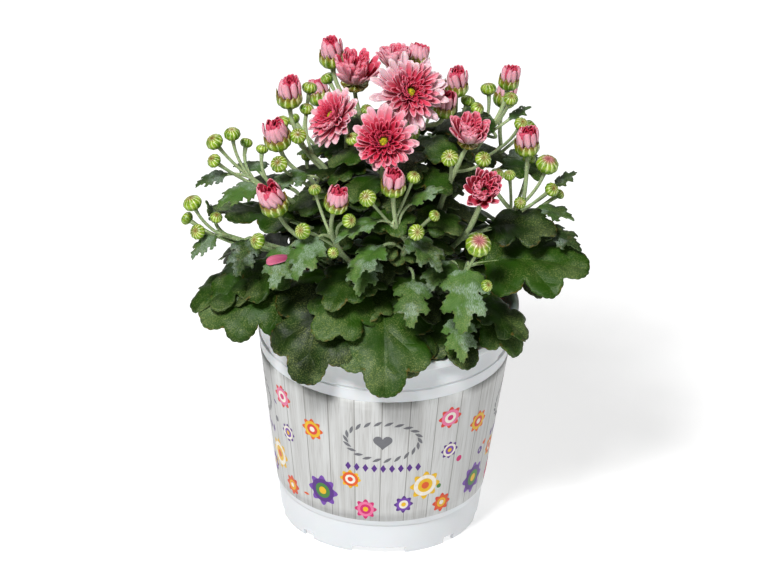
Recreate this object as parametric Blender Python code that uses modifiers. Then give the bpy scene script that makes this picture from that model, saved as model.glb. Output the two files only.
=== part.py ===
"""Pot chrysanthemum: a white pot of peat with five rooted, leafy, budded stems and their pink blooms.

The origin is on the ground, under the middle of the pot. +Z is up and the front of the plant is -Y.
Lengths are in millimetres until MM turns them into metres.
"""

import math
from typing import NamedTuple

import bmesh
import bpy
from mathutils import Matrix, Vector, noise
from mathutils.geometry import delaunay_2d_cdt

MM = 0.001

# Pot
POT_HEIGHT = 115.0
RIM_RADIUS = 65.0
RIM_DEPTH = 4.4
RIM_WIDTH = 3.6
COLLAR_FOOT = 98.5
COLLAR_RADIUS = 61.6
GROOVE_DEPTH = 0.6
BAND_FOOT = 17.5
BAND_FOOT_RADIUS = 50.6
STEP_DEPTH = 0.7
FOOT_RADIUS = 48.0
FOOT_WALL = 1.8
FLOOR_UNDERSIDE = 4.2
WALL = 1.3
POT_STEPS = 32
NOTCH_HEIGHT = 3.5
WIDE_NOTCH_DEGREES = 31.0
NARROW_NOTCH_DEGREES = 8.0
CENTRE_DRAIN_RADIUS = 5.0

# Soil
SOIL_TOP = 105.5
SOIL_UNEVENNESS = 1.3
SOIL_STEPS = 16
HOLE_SIDES = 10
GAP = 0.3

# Stems and leaves
ROOT_RADIUS = 2.6
AXIS_SIDES = 6
FORK_RADIUS = 1.6
FORK_SIDES = 4
STALK_RADIUS = 1.05
STALK_SIDES = 3
SHORT_STALK = 11.0
PETIOLE_SLOPE = 0.5
LOWEST_AXIS_NODE = 0.7
LOWEST_FORK_NODE = 0.45
BLADE_THICKNESS = 0.75
PETIOLE_THICKNESS = 1.7

# Flowers
PETAL_THICKNESS = 0.65
CUP_HEIGHT = 3.2
CUP_SIDES = 8
BUD_SIDES = 6
BUD_RINGS = [(0.42, 0.0), (1.0, 0.68), (0.5, 1.42)]
DISC_RADIUS = 2.0
DISC_HEIGHT = 1.4
DISC_SIDES = 9

# Loose petal: its narrow foot, heading, roll, rise and curl in degrees, and (along, half width) of each row
LOOSE_FOOT = (-44.5, -53.9, 166.9)
LOOSE_HEADING = 184.0
LOOSE_ROLL = -28.0
LOOSE_RISE = -12.0
LOOSE_CURL = -14.0
LOOSE_LENGTH = 14.0
LOOSE_ROWS = [(0.0, 0.8), (0.35, 2.0), (0.75, 2.6), (1.0, 1.3)]
OPENING_PETALS = 6
CORE_HEIGHT = 4.8
CORE_RADII = {"bloom": (3.8, 2.6), "cup": (3.4, 2.2)}


class Head(NamedTuple):
    """A bud or flower: its kind, its fork, the place where its cup ends, its width and where it faces."""

    kind: str
    fork: int
    place: tuple
    width: float
    facing: tuple = (0.0, 0.0, 1.0)
    name: str = ""


class Leaf(NamedTuple):
    """A leaf: its kind, the foot of its blade, heading, rise and droop in degrees, length, and roll."""

    kind: str
    foot: tuple
    heading: float
    rise: float
    droop: float
    length: float
    roll: float = 0.0


class Lobe(NamedTuple):
    """One lobe of half a leaf, in leaf lengths: its foot, direction in degrees, length and half width."""

    along: float
    across: float
    direction: float
    length: float
    half_width: float


class Shoot(NamedTuple):
    """A rooted stem: its axis from the soil up, its forks as lists of points, its heads and its leaves."""

    name: str
    axis: list
    forks: list
    heads: list
    leaves: list


# Half a leaf, lobe by lobe, with the bottom of each bay between two lobes
OLD_LOBES = [
    Lobe(0.24, 0.07, 72, 0.36, 0.15),
    Lobe(0.48, 0.07, 46, 0.38, 0.14),
    Lobe(0.60, 0.0, 0, 0.40, 0.17),
]
OLD_BAYS = [(0.43, 0.20), (0.73, 0.16)]
YOUNG_LOBES = [
    Lobe(0.22, 0.05, 58, 0.34, 0.10),
    Lobe(0.46, 0.05, 42, 0.36, 0.10),
    Lobe(0.62, 0.0, 0, 0.38, 0.11),
]
YOUNG_BAYS = [(0.42, 0.13), (0.70, 0.10)]

FRONT = Shoot(
    "front_stem",
    [(-4, -18, 84), (-4, -18, 112), (-6, -24, 140), (-4, -27, 180), (-3, -28, 214)],
    [
        [(-5, -23, 136), (6, -38, 158), (9, -45, 172), (2, -50, 184)],
        [(-6, -23, 138), (-20, -40, 160), (-28, -50, 179)],
    ],
    [
        Head("bloom", 0, (-3, -32, 218), 34, (-0.05, -0.8, 0.6), "front_bloom"),
        Head("opening", 1, (2, -52, 202), 12, (0.0, -0.25, 0.97), "opening_bud_front"),
        Head("closed", 1, (-9, -58, 201), 8.6, (-0.3, -0.6, 0.7)),
        Head("closed", 1, (11, -46, 206), 6.7, (0.2, -0.3, 0.9)),
        Head("closed", 1, (13, -61, 186), 8.0, (0.2, -0.8, 0.5)),
        Head("closed", 1, (21, -47, 187), 5.8, (0.5, -0.5, 0.7)),
        Head("opening", 2, (-26, -57, 195), 11.5, (0.2, -0.3, 0.93), "opening_bud_front_left"),
        Head("closed", 2, (-20, -59, 190), 7.2, (0.5, -0.7, 0.5)),
        Head("closed", 2, (-39, -56, 182), 8.0, (-0.5, -0.7, 0.5)),
        Head("closed", 2, (-35, -45, 197), 6.2, (-0.2, -0.2, 0.95)),
        Head("closed", 2, (-26, -61, 174), 5.5, (0.1, -0.9, 0.4)),
        Head("closed", 0, (-17, -22, 213), 7.0, (-0.4, -0.3, 0.85)),
    ],
    [
        Leaf("old", (-2, -33, 138), -86, -10, 56, 58, 0),
        Leaf("old", (-26, -31, 142), -108, -14, 64, 56, 0),
        Leaf("old", (20, -26, 128), -58, -2, 44, 44, 0),
        Leaf("old", (-9, -27, 186), 176, 8, 30, 28, 12),
        Leaf("old", (-12, -34, 152), -118, 5, 46, 34, 0),
        Leaf("young", (13, -51, 155), -92, -15, 55, 26, 0),
        Leaf("young", (-2, -51, 173), -132, 0, 55, 26, 10),
        Leaf("young", (9, -49, 177), -42, 0, 52, 26, 0),
        Leaf("young", (-4, -50, 186), -160, 2, 46, 25, 10),
        Leaf("young", (10, -46, 193), 4, 42, 30, 19, 0),
        Leaf("young", (-33, -52, 177), -122, -8, 58, 26, 0),
        Leaf("young", (-8, -42, 162), -105, 0, 60, 24, 0),
    ],
)

RIGHT = Shoot(
    "right_stem",
    [(20, -6, 84), (20, -6, 112), (22, -12, 140), (24, -22, 176), (35, -19, 207)],
    [
        [(22, -13, 142), (38, -30, 170), (44, -36, 188)],
        [(21, -9, 130), (48, -13, 152), (65, -9, 177)],
        [(20, -8, 122), (33, -40, 146), (39, -55, 164)],
    ],
    [
        Head("cup", 0, (37, -21, 213), 21, (0.12, -0.35, 0.93), "right_bloom"),
        Head("cup", 1, (45, -39, 195), 21, (0.05, -0.68, 0.73), "lower_right_bloom"),
        Head("closed", 0, (29, -34, 211), 8.6, (-0.1, -0.6, 0.75)),
        Head("closed", 0, (44, -34, 211), 8.0, (0.2, -0.6, 0.75)),
        Head("closed", 1, (51, -27, 198), 7.0, (0.3, 0.1, 0.95)),
        Head("opening", 2, (66, -6, 201), 12, (-0.05, -0.15, 0.98), "opening_bud_right"),
        Head("closed", 2, (67, 3, 191), 6.4, (0.1, 0.3, 0.9)),
        Head("closed", 2, (75, -8, 193), 11.0, (0.2, -0.2, 0.95)),
        Head("closed", 2, (77, -14, 185), 7.0, (0.5, -0.5, 0.7)),
        Head("closed", 2, (81, -9, 180), 5.0, (0.7, -0.1, 0.6)),
        Head("closed", 2, (63, -22, 182), 6.0, (0.1, -0.7, 0.7)),
        Head("closed", 2, (58, -13, 191), 6.0, (-0.1, -0.3, 0.95)),
        Head("closed", 3, (43, -60, 177), 12.5, (0.1, -0.5, 0.85)),
        Head("closed", 3, (47, -60, 157), 6.0, (0.5, -0.6, 0.6)),
    ],
    [
        Leaf("old", (43, -30, 153), -6, 22, 42, 56, 18),
        Leaf("old", (48, -26, 170), -7, 30, 58, 35, 12),
        Leaf("old", (43, -38, 137), -24, -8, 42, 32, 0),
        Leaf("old", (53, 2, 188), 15, 12, 50, 26, 0),
        Leaf("old", (44, -8, 138), 8, 2, 46, 42, 0),
        Leaf("young", (70, -13, 174), -20, 18, 42, 21, 0),
        Leaf("young", (73, -21, 169), -28, 2, 36, 24, 0),
        Leaf("young", (39, -53, 165), -96, -40, 30, 34, 0),
        Leaf("young", (34, -51, 136), -76, -28, 40, 24, 0),
        Leaf("young", (80, -7, 184), 25, 40, 30, 13, 0),
        Leaf("young", (31, -38, 158), -120, 10, 60, 24, 0),
    ],
)

BACK = Shoot(
    "back_stem",
    [(8, 20, 84), (8, 20, 112), (12, 24, 140), (22, 24, 180), (31, 18, 211)],
    [
        [(13, 24, 144), (38, 26, 180), (50, 25, 201)],
        [(11, 24, 136), (14, 44, 164), (12, 52, 184)],
        [(10, 23, 130), (-14, 40, 158), (-28, 46, 178)],
        [(12, 24, 138), (40, 40, 162), (54, 44, 178)],
    ],
    [
        Head("opening", 0, (31, 15, 221), 11.5, (0.0, -0.1, 0.99), "opening_bud_top_right"),
        Head("closed", 0, (36, 17, 214), 7.0, (0.3, 0.3, 0.9)),
        Head("closed", 0, (40, 9, 215), 7.0, (0.5, -0.2, 0.85)),
        Head("opening", 1, (56, 30, 217), 10, (0.1, 0.0, 0.99), "opening_bud_far_right"),
        Head("closed", 1, (57, 20, 215), 7.2, (0.2, -0.4, 0.9)),
        Head("closed", 1, (47, 31, 213), 7.8, (-0.1, 0.2, 0.97)),
        Head("closed", 1, (62, 6, 209), 7.0, (0.3, -0.4, 0.85)),
        Head("cup", 2, (6, 52, 204), 22, (0.0, 0.55, 0.83), "back_bloom"),
        Head("closed", 2, (22, 58, 196), 7.6, (0.4, 0.6, 0.7)),
        Head("opening", 3, (-34, 50, 194), 11, (-0.2, 0.4, 0.9), "opening_bud_back_left"),
        Head("closed", 3, (-22, 58, 187), 7.0, (0.1, 0.7, 0.7)),
        Head("closed", 3, (-46, 50, 184), 6.6, (-0.6, 0.5, 0.6)),
        Head("opening", 4, (54, 50, 196), 11, (0.2, 0.3, 0.93), "opening_bud_back_right"),
        Head("closed", 4, (66, 46, 186), 7.2, (0.7, 0.3, 0.6)),
    ],
    [
        Leaf("old", (10, 33, 138), 84, -6, 50, 52, 0),
        Leaf("old", (34, 27, 139), 36, -6, 50, 50, 0),
        Leaf("old", (-14, 33, 139), 124, -6, 50, 48, 0),
        Leaf("old", (32, 38, 156), 66, 12, 55, 36, 0),
        Leaf("old", (-8, 44, 163), 112, 10, 55, 34, 0),
        Leaf("old", (34, 31, 176), 34, 14, 55, 32, 0),
        Leaf("old", (4, 42, 178), 128, 14, 50, 28, 0),
        Leaf("young", (50, 18, 199), 150, 40, 30, 20, 0),
        Leaf("young", (18, 50, 174), 60, 5, 55, 26, 0),
        Leaf("young", (-26, 44, 172), 150, 5, 50, 24, 0),
        Leaf("young", (56, 40, 174), 10, 5, 50, 24, 0),
        Leaf("young", (57, 23, 204), 20, 35, 20, 12, 0),
    ],
)

LEFT = Shoot(
    "left_stem",
    [(-18, 2, 84), (-18, 2, 112), (-20, 0, 140), (-21, -4, 176), (-21, -8, 212)],
    [
        [(-20, -2, 158), (-29, -8, 188), (-43, -10, 204)],
        [(-20, -1, 152), (-30, -12, 176), (-38, -17, 190)],
        [(-20, 0, 140), (-44, -4, 168), (-65, -5, 180)],
        [(-19, 1, 124), (-46, -15, 146), (-71, -22, 158), (-83, -22, 162)],
        [(-19, 1, 130), (-30, -28, 152), (-41, -38, 168)],
    ],
    [
        Head("bloom", 0, (-23, -10, 217), 29, (-0.68, -0.36, 0.64), "left_bloom"),
        Head("opening", 1, (-49, 0, 220), 12.5, (-0.05, -0.1, 0.99), "opening_bud_left"),
        Head("closed", 1, (-51, -8, 213), 7.6, (-0.5, -0.2, 0.8)),
        Head("closed", 1, (-44, -18, 212), 8.0, (-0.1, -0.6, 0.8)),
        Head("closed", 1, (-41, 0, 216), 7.0, (0.1, 0.1, 0.98)),
        Head("closed", 1, (-40, 10, 222), 7.4, (0.1, 0.2, 0.97)),
        Head("opening", 2, (-53, -20, 208), 13, (-0.2, -0.2, 0.95), "opening_bud_left_low"),
        Head("closed", 2, (-52, -32, 204), 8.4, (-0.3, -0.6, 0.75)),
        Head("closed", 2, (-40, -3, 192), 5.5, (0.0, 0.4, 0.9)),
        Head("closed", 3, (-83, -2, 198), 8.6, (-0.5, -0.2, 0.8)),
        Head("closed", 3, (-76, 0, 201), 8.0, (-0.1, -0.1, 0.99)),
        Head("closed", 3, (-70, 7, 193), 6.2, (0.2, 0.4, 0.9)),
        Head("closed", 3, (-83, -10, 193), 7.0, (-0.6, -0.4, 0.7)),
        Head("closed", 3, (-62, 3, 192), 6.0, (0.1, 0.3, 0.95)),
        Head("closed", 4, (-93, -20, 173), 9.2, (-0.4, 0.0, 0.9)),
        Head("closed", 4, (-95, -16, 164), 6.6, (-0.8, 0.4, 0.4)),
        Head("closed", 4, (-90, -27, 164), 7.6, (-0.5, -0.7, 0.5)),
        Head("closed", 4, (-83, -24, 169), 6.2, (0.1, -0.3, 0.95)),
        Head("opening", 5, (-53, -41, 184), 14, (-0.28, -0.25, 0.92), "opening_bud_left_front"),
        Head("closed", 5, (-60, -46, 170), 8.0, (-0.7, -0.5, 0.5)),
    ],
    [
        Leaf("old", (-58, -19, 141), -161, -10, 34, 42, 0),
        Leaf("old", (-42, -14, 163), 176, 22, 38, 46, 10),
        Leaf("old", (-46, 4, 140), 156, 0, 46, 42, 0),
        Leaf("old", (-30, 22, 144), 134, 6, 52, 44, 0),
        Leaf("old", (-47, 7, 171), 150, 10, 44, 28, 0),
        Leaf("old", (-46, -22, 146), -152, -4, 50, 36, 0),
        Leaf("young", (-38, -24, 195), -166, 10, 50, 22, 0),
        Leaf("young", (-78, -6, 185), -166, -2, 34, 17, 0),
        Leaf("young", (-62, -15, 183), -160, 6, 54, 24, 0),
        Leaf("young", (-46, -45, 168), -116, -12, 54, 25, 0),
        Leaf("young", (-66, -27, 161), -110, -8, 52, 22, 0),
        Leaf("young", (-82, -27, 162), -150, -8, 50, 17, 0),
        Leaf("young", (-83, -17, 164), 165, 68, 10, 12, 0),
        Leaf("young", (-62, 5, 180), 120, 10, 50, 22, 0),
    ],
)

CENTRE = Shoot(
    "centre_stem",
    [(2, 4, 84), (2, 4, 112), (2, 5, 150), (4, 6, 196), (6, 0, 224)],
    [
        [(3, 6, 180), (-8, 9, 198), (-15, 11, 210)],
        [(3, 6, 176), (2, 16, 204), (3, 22, 220)],
    ],
    [
        Head("bloom", 0, (7, -4, 230), 37, (0.22, -0.76, 0.61), "crown_bloom"),
        Head("closed", 0, (9, -9, 211), 9.0, (0.2, -0.6, 0.75)),
        Head("opening", 0, (25, 2, 216), 11, (0.1, -0.1, 0.99), "opening_bud_behind_crown"),
        Head("cup", 1, (-18, 14, 224), 26, (0.0, -0.22, 0.97), "top_left_bloom"),
        Head("opening", 1, (-29, 23, 230), 12, (-0.1, 0.0, 0.99), "opening_bud_top_left"),
        Head("closed", 1, (-30, 25, 220), 7.0, (-0.5, 0.3, 0.8)),
        Head("closed", 1, (-12, 3, 216), 6.0, (0.1, -0.4, 0.9)),
        Head("cup", 2, (2, 24, 227), 17, (-0.1, 0.0, 0.99), "top_back_bloom"),
        Head("opening", 2, (11, 36, 222), 11, (0.2, 0.3, 0.93), "opening_bud_top_back"),
    ],
    [
        Leaf("young", (-8, 2, 203), -100, 20, 50, 16, 0),
        Leaf("young", (-8, 14, 202), 120, 20, 50, 20, 0),
        Leaf("young", (8, 20, 208), 40, 15, 50, 20, 0),
        Leaf("young", (6, -8, 196), -70, 20, 50, 20, 0),
        Leaf("young", (13, 7, 196), -20, 10, 50, 20, 0),
    ],
)

SHOOTS = [FRONT, RIGHT, BACK, LEFT, CENTRE]


class Finish(NamedTuple):
    """A material: its name, colour as linear red, green and blue, and roughness."""

    name: str
    colour: tuple
    roughness: float


WHITE_PLASTIC = Finish("white_plastic", (0.78, 0.79, 0.80), 0.4)
PEAT = Finish("peat", (0.03, 0.018, 0.012), 0.95)
GREEN_LEAF = Finish("green_leaf", (0.06, 0.13, 0.03), 0.55)
PINK_PETAL = Finish("pink_petal", (0.75, 0.18, 0.25), 0.6)
YELLOW_DISC = Finish("yellow_disc", (0.6, 0.55, 0.03), 0.7)


def material(finish):
    """Return the Principled material of a finish, made once."""
    made = bpy.data.materials.get(finish.name)
    if made:
        return made
    made = bpy.data.materials.new(finish.name)
    made.use_nodes = True
    principled = made.node_tree.nodes["Principled BSDF"]
    principled.inputs["Base Color"].default_value = (*finish.colour, 1.0)
    principled.inputs["Roughness"].default_value = finish.roughness
    principled.inputs["Metallic"].default_value = 0.0
    return made


def add_object(name, mesh, collection):
    """Link a new object that shows a mesh."""
    made = bpy.data.objects.new(name, mesh)
    collection.objects.link(made)
    return made


def mesh_from(work, name):
    """Turn a bmesh into a mesh and free it."""
    mesh = bpy.data.meshes.new(name)
    work.to_mesh(mesh)
    work.free()
    return mesh


def settle(thing):
    """Replace an object's mesh by what its modifiers make of it."""
    bpy.context.view_layer.update()
    evaluated = thing.evaluated_get(bpy.context.evaluated_depsgraph_get())
    mesh = bpy.data.meshes.new_from_object(evaluated)
    thing.modifiers.clear()
    thing.data = mesh
    return thing


def frame_at(place, facing, spin=0.0):
    """Matrix that puts the local origin at a place in millimetres and local +Z along a direction."""
    turn = Vector(facing).normalized().to_track_quat("Z", "Y").to_matrix().to_4x4()
    return Matrix.Translation(Vector(place) * MM) @ turn @ Matrix.Rotation(spin, 4, "Z")


def screw(name, profile, steps, collection):
    """Turn a closed profile of (radius, height) points round the Z axis."""
    work = bmesh.new()
    corners = [work.verts.new((radius * MM, 0.0, height * MM)) for radius, height in profile]
    for first, second in zip(corners, corners[1:] + corners[:1]):
        work.edges.new((first, second))
    thing = add_object(name, mesh_from(work, name), collection)
    turning = thing.modifiers.new("turn", "SCREW")
    turning.steps = steps
    turning.render_steps = steps
    turning.use_merge_vertices = True
    turning.merge_threshold = 0.00005
    return settle(thing)


def boolean(thing, operation, collection):
    """Join an object with, or cut it by, every object of a collection, and apply it."""
    joining = thing.modifiers.new("boolean", "BOOLEAN")
    joining.operation = operation
    joining.operand_type = "COLLECTION"
    joining.collection = collection
    joining.solver = "MANIFOLD"
    settle(thing)
    for used in list(collection.objects):
        bpy.data.objects.remove(used)
    return thing


def keep_largest_body(thing):
    """Drop the loose scraps that a union can leave beside the main body."""
    work = bmesh.new()
    work.from_mesh(thing.data)
    waiting = set(work.verts)
    bodies = []
    while waiting:
        body = []
        front = [waiting.pop()]
        while front:
            corner = front.pop()
            body.append(corner)
            for edge in corner.link_edges:
                other = edge.other_vert(corner)
                if other in waiting:
                    waiting.remove(other)
                    front.append(other)
        bodies.append(body)
    bodies.sort(key=len)
    for body in bodies[:-1]:
        bmesh.ops.delete(work, geom=body, context="VERTS")
    work.to_mesh(thing.data)
    work.free()
    return thing


def fuse(name, pieces, finish, parts, pool):
    """Join closed pieces into one body by one union on a collection."""
    thing = pieces[0]
    thing.name = name
    for piece in pieces[1:]:
        parts.objects.unlink(piece)
        pool.objects.link(piece)
    boolean(thing, "UNION", pool)
    keep_largest_body(thing)
    thing.data.materials.clear()
    thing.data.materials.append(material(finish))
    thing.data.shade_smooth()
    thing.data.set_sharp_from_angle(angle=math.radians(50))
    return thing


def wall_radius(height):
    """Outer radius of the tapered wall at a height."""
    taper = (COLLAR_RADIUS - BAND_FOOT_RADIUS) / (COLLAR_FOOT - BAND_FOOT)
    return BAND_FOOT_RADIUS + taper * (height - BAND_FOOT)


def foot_notch(degrees, width_degrees, collection):
    """Cutter for one notch in the foot ring, wider at the ground than at its top."""
    half_width = FOOT_RADIUS * math.sin(math.radians(width_degrees / 2))
    work = bmesh.new()
    bmesh.ops.create_cube(work, size=1.0)
    bmesh.ops.scale(work, vec=(14.0 * MM, 2 * half_width * MM, 2 * NOTCH_HEIGHT * MM), verts=work.verts)
    for corner in work.verts:
        if corner.co.z > 0:
            corner.co.y *= 0.8
    thing = add_object("foot_notch", mesh_from(work, "foot_notch"), collection)
    thing.hide_render = True
    thing.display_type = "WIRE"
    turn = Matrix.Rotation(math.radians(degrees), 4, "Z")
    thing.data.transform(turn @ Matrix.Translation(Vector(((FOOT_RADIUS - 3.0) * MM, 0.0, 0.0))))


def make_pot(parts, cutters):
    """The white pot: rim, collar, wall, floor with a drain and a notched foot ring."""
    inner_top = RIM_RADIUS - RIM_WIDTH
    profile = [
        (RIM_RADIUS, POT_HEIGHT),
        (RIM_RADIUS, POT_HEIGHT - RIM_DEPTH),
        (COLLAR_RADIUS + 0.9, POT_HEIGHT - RIM_DEPTH - 0.5),
        (COLLAR_RADIUS + 0.1, COLLAR_FOOT + 0.9),
        (COLLAR_RADIUS - GROOVE_DEPTH, COLLAR_FOOT + 0.5),
        (COLLAR_RADIUS, COLLAR_FOOT),
        (BAND_FOOT_RADIUS, BAND_FOOT),
        (BAND_FOOT_RADIUS - STEP_DEPTH, BAND_FOOT - 0.5),
        (FOOT_RADIUS, 0.0),
        (FOOT_RADIUS - FOOT_WALL, 0.0),
        (FOOT_RADIUS - FOOT_WALL + 0.3, FLOOR_UNDERSIDE),
        (CENTRE_DRAIN_RADIUS, FLOOR_UNDERSIDE),
        (CENTRE_DRAIN_RADIUS, FLOOR_UNDERSIDE + WALL),
        (wall_radius(FLOOR_UNDERSIDE + WALL) - WALL - 1.5, FLOOR_UNDERSIDE + WALL),
        (wall_radius(COLLAR_FOOT) - WALL, COLLAR_FOOT),
        (inner_top, POT_HEIGHT),
    ]
    pot = screw("pot", profile, POT_STEPS, parts)
    for quarter in range(4):
        foot_notch(90.0 * quarter, WIDE_NOTCH_DEGREES, cutters)
        foot_notch(90.0 * quarter + 45.0, NARROW_NOTCH_DEGREES, cutters)
    boolean(pot, "DIFFERENCE", cutters)
    keep_largest_body(pot)
    pot.data.materials.append(material(WHITE_PLASTIC))
    pot.data.shade_smooth()
    pot.data.set_sharp_from_angle(angle=math.radians(30))


def make_soil(parts, cutters):
    """The peat that fills the pot, uneven on top, with a plain hole for each rooted stem."""
    foot = FLOOR_UNDERSIDE + WALL + GAP
    foot_radius = wall_radius(foot) - WALL - 1.5 - GAP
    top_radius = wall_radius(SOIL_TOP) - WALL - 1.2
    profile = [
        (0.0, SOIL_TOP),
        (14.0, SOIL_TOP),
        (28.0, SOIL_TOP),
        (42.0, SOIL_TOP),
        (52.0, SOIL_TOP),
        (top_radius, SOIL_TOP - 1.0),
        (foot_radius, foot),
        (0.0, foot),
    ]
    soil = screw("soil", profile, SOIL_STEPS, parts)
    work = bmesh.new()
    work.from_mesh(soil.data)
    bmesh.ops.remove_doubles(work, verts=work.verts, dist=0.00001)
    bmesh.ops.dissolve_degenerate(work, dist=0.00001, edges=work.edges)
    for corner in work.verts:
        if corner.co.z > (SOIL_TOP - 0.5) * MM and corner.co.xy.length < 0.053:
            bump = noise.noise(corner.co / (9.0 * MM))
            corner.co.z += SOIL_UNEVENNESS * bump * MM
    bmesh.ops.triangulate(work, faces=work.faces)
    bmesh.ops.recalc_face_normals(work, faces=work.faces)
    work.to_mesh(soil.data)
    work.free()
    for shoot in SHOOTS:
        x, y, root = shoot.axis[0]
        radius = ROOT_RADIUS + 1.4 * GAP
        rings = [(radius, root - GAP), (radius, POT_HEIGHT)]
        hole = stacked("root_hole", rings, HOLE_SIDES, Matrix.Translation((x * MM, y * MM, 0.0)), cutters)
        hole.hide_render = True
        hole.display_type = "WIRE"
    boolean(soil, "DIFFERENCE", cutters)
    keep_largest_body(soil)
    soil.data.materials.append(material(PEAT))


def tube(points, radii, collection, sides):
    """A tapered stem through points in millimetres, with few sides, closed at both ends."""
    ring = bpy.data.curves.new("ring", "CURVE")
    corners = ring.splines.new("POLY")
    corners.points.add(sides - 1)
    corners.use_cyclic_u = True
    for index, corner in enumerate(corners.points):
        angle = 2 * math.pi * index / sides
        corner.co = (math.cos(angle) * MM, math.sin(angle) * MM, 0.0, 1.0)
    section = add_object("ring", ring, collection)
    curve = bpy.data.curves.new("tube", "CURVE")
    curve.dimensions = "3D"
    curve.bevel_mode = "OBJECT"
    curve.bevel_object = section
    curve.use_fill_caps = True
    spline = curve.splines.new("POLY")
    spline.points.add(len(points) - 1)
    for knot, point, radius in zip(spline.points, points, radii):
        knot.co = (*(Vector(point) * MM), 1.0)
        knot.radius = radius
    drawn = add_object("tube", curve, collection)
    bpy.context.view_layer.update()
    mesh = bpy.data.meshes.new_from_object(drawn.evaluated_get(bpy.context.evaluated_depsgraph_get()))
    for guide in (drawn, section):
        bpy.data.objects.remove(guide)
    work = bmesh.new()
    work.from_mesh(mesh)
    bmesh.ops.remove_doubles(work, verts=work.verts, dist=0.00001)
    bmesh.ops.recalc_face_normals(work, faces=work.faces)
    work.to_mesh(mesh)
    work.free()
    return add_object("tube", mesh, collection)


def bezier(start, handle, end, count):
    """Points of a quadratic curve, both ends included."""
    points = []
    for step in range(count):
        t = step / (count - 1)
        points.append(start * (1 - t) ** 2 + handle * 2 * t * (1 - t) + end * t * t)
    return points


def route_point(route, fraction):
    """Point at a fraction of the length of a route."""
    lengths = [(Vector(second) - Vector(first)).length for first, second in zip(route, route[1:])]
    left = fraction * sum(lengths)
    for first, second, length in zip(route, route[1:], lengths):
        if left <= length:
            return Vector(first).lerp(Vector(second), left / length)
        left -= length
    return Vector(route[-1])


def leaf_node(route, foot):
    """Point on a route, short of its tip, from which a leaf's stalk climbs most directly to the leaf."""
    best = None
    for step in range(4, 45):
        point = route_point(route, step / 50)
        reach = foot - point
        miss = abs(reach.z - PETIOLE_SLOPE * reach.xy.length) + 0.35 * reach.length
        if best is None or miss < best[0]:
            best = (miss, point)
    return best[1]


def head_nodes(shoot, routes):
    """Where each head's stalk leaves its route: the lower the head, the lower down the route."""
    nodes = {}
    for number, route in enumerate(routes):
        heads = sorted((head for head in shoot.heads if head.fork == number), key=lambda head: head.place[2])
        lowest = LOWEST_AXIS_NODE if number == 0 else LOWEST_FORK_NODE
        for rank, head in enumerate(heads):
            fraction = lowest + (1.0 - lowest) * (rank + 1) / len(heads)
            nodes[head] = route_point(route, fraction)
    return nodes


def head_stalk(head, start, collection):
    """The stalk from its node on a fork up to a bud or flower."""
    place = Vector(head.place)
    facing = Vector(head.facing).normalized()
    reach = (place - start).length
    handle = place - facing * reach * 0.5
    thick = STALK_RADIUS * (1.0 if head.kind == "closed" else 1.35)
    knots = 3 if reach > SHORT_STALK else 2
    return tube(bezier(start, handle, place + facing, knots), [thick] * knots, collection, STALK_SIDES)


def stacked(name, rings, sides, frame, collection):
    """A closed body of rings, given as (radius, height) in millimetres, stacked up the Z axis of a frame."""
    work = bmesh.new()
    rows = []
    for radius, height in rings:
        row = []
        for side in range(sides):
            angle = 2 * math.pi * side / sides
            corner = Vector((radius * math.cos(angle), radius * math.sin(angle), height))
            row.append(work.verts.new(corner * MM))
        rows.append(row)
    for lower, upper in zip(rows, rows[1:]):
        for side in range(sides):
            following = (side + 1) % sides
            work.faces.new([lower[side], lower[following], upper[following], upper[side]])
    work.faces.new(list(reversed(rows[0])))
    work.faces.new(rows[-1])
    body = add_object(name, mesh_from(work, name), collection)
    body.data.transform(frame)
    return body


def closed_bud(head, collection):
    """A closed bud: a flattened globe."""
    radius = head.width / 2
    rings = [(radius * wide, radius * high) for wide, high in BUD_RINGS]
    return stacked("bud", rings, BUD_SIDES, frame_at(head.place, head.facing), collection)


def green_cup(head, collection):
    """The green cup under a flower, cut flat where the petals start."""
    frame = frame_at(head.place, head.facing)
    if head.kind == "opening":
        rim, height = head.width * 0.5, head.width * 0.42
        rings = [(rim * 0.42, 0.0), (rim * 0.93, height * 0.4), (rim, height)]
    else:
        rim = head.width * (0.2 if head.kind == "bloom" else 0.26)
        rings = [(rim * 0.42, 0.0), (rim, CUP_HEIGHT)]
    return stacked("cup", rings, CUP_SIDES, frame, collection)


def half_outline(kind, turns):
    """Half a leaf's edge from its foot to its tip, as (along, across) in leaf lengths."""
    lobes, bays, blunt = (OLD_LOBES, OLD_BAYS, 0.45) if kind == "old" else (YOUNG_LOBES, YOUNG_BAYS, 1.0)
    points = []
    for number, lobe in enumerate(lobes):
        last = number == len(lobes) - 1
        heading = math.radians(lobe.direction)
        for turn in turns:
            if last and turn > -10:
                continue
            swing = math.radians(turn)
            out = lobe.length * math.cos(swing) ** blunt
            side = -lobe.half_width * math.sin(swing)
            along = lobe.along + out * math.cos(heading) - side * math.sin(heading)
            across = lobe.across + out * math.sin(heading) + side * math.cos(heading)
            points.append((along, across))
        if not last:
            points.append(bays[number])
    return points


def bent(leaf, along, across):
    """Place of a point of the blade, in metres, for its place (along, across) in leaf lengths."""
    rise = math.radians(leaf.rise)
    droop = math.radians(leaf.droop)
    turned = rise - droop * along
    forward, up = arc(leaf.length, rise, -droop, along)
    fold = 0.26 * abs(across) - 0.95 * across * across
    ripple = 0.035 * math.sin(9.0 * along + 4.0 * across)
    lift = leaf.length * (fold + ripple * abs(across) * 2.5)
    forward -= lift * math.sin(turned)
    up += lift * math.cos(turned)
    side = across * leaf.length
    local = Matrix.Rotation(math.radians(leaf.roll), 4, "X") @ Vector((forward, side, up))
    turn = Matrix.Rotation(math.radians(leaf.heading), 4, "Z")
    return (turn @ local + Vector(leaf.foot)) * MM


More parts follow.
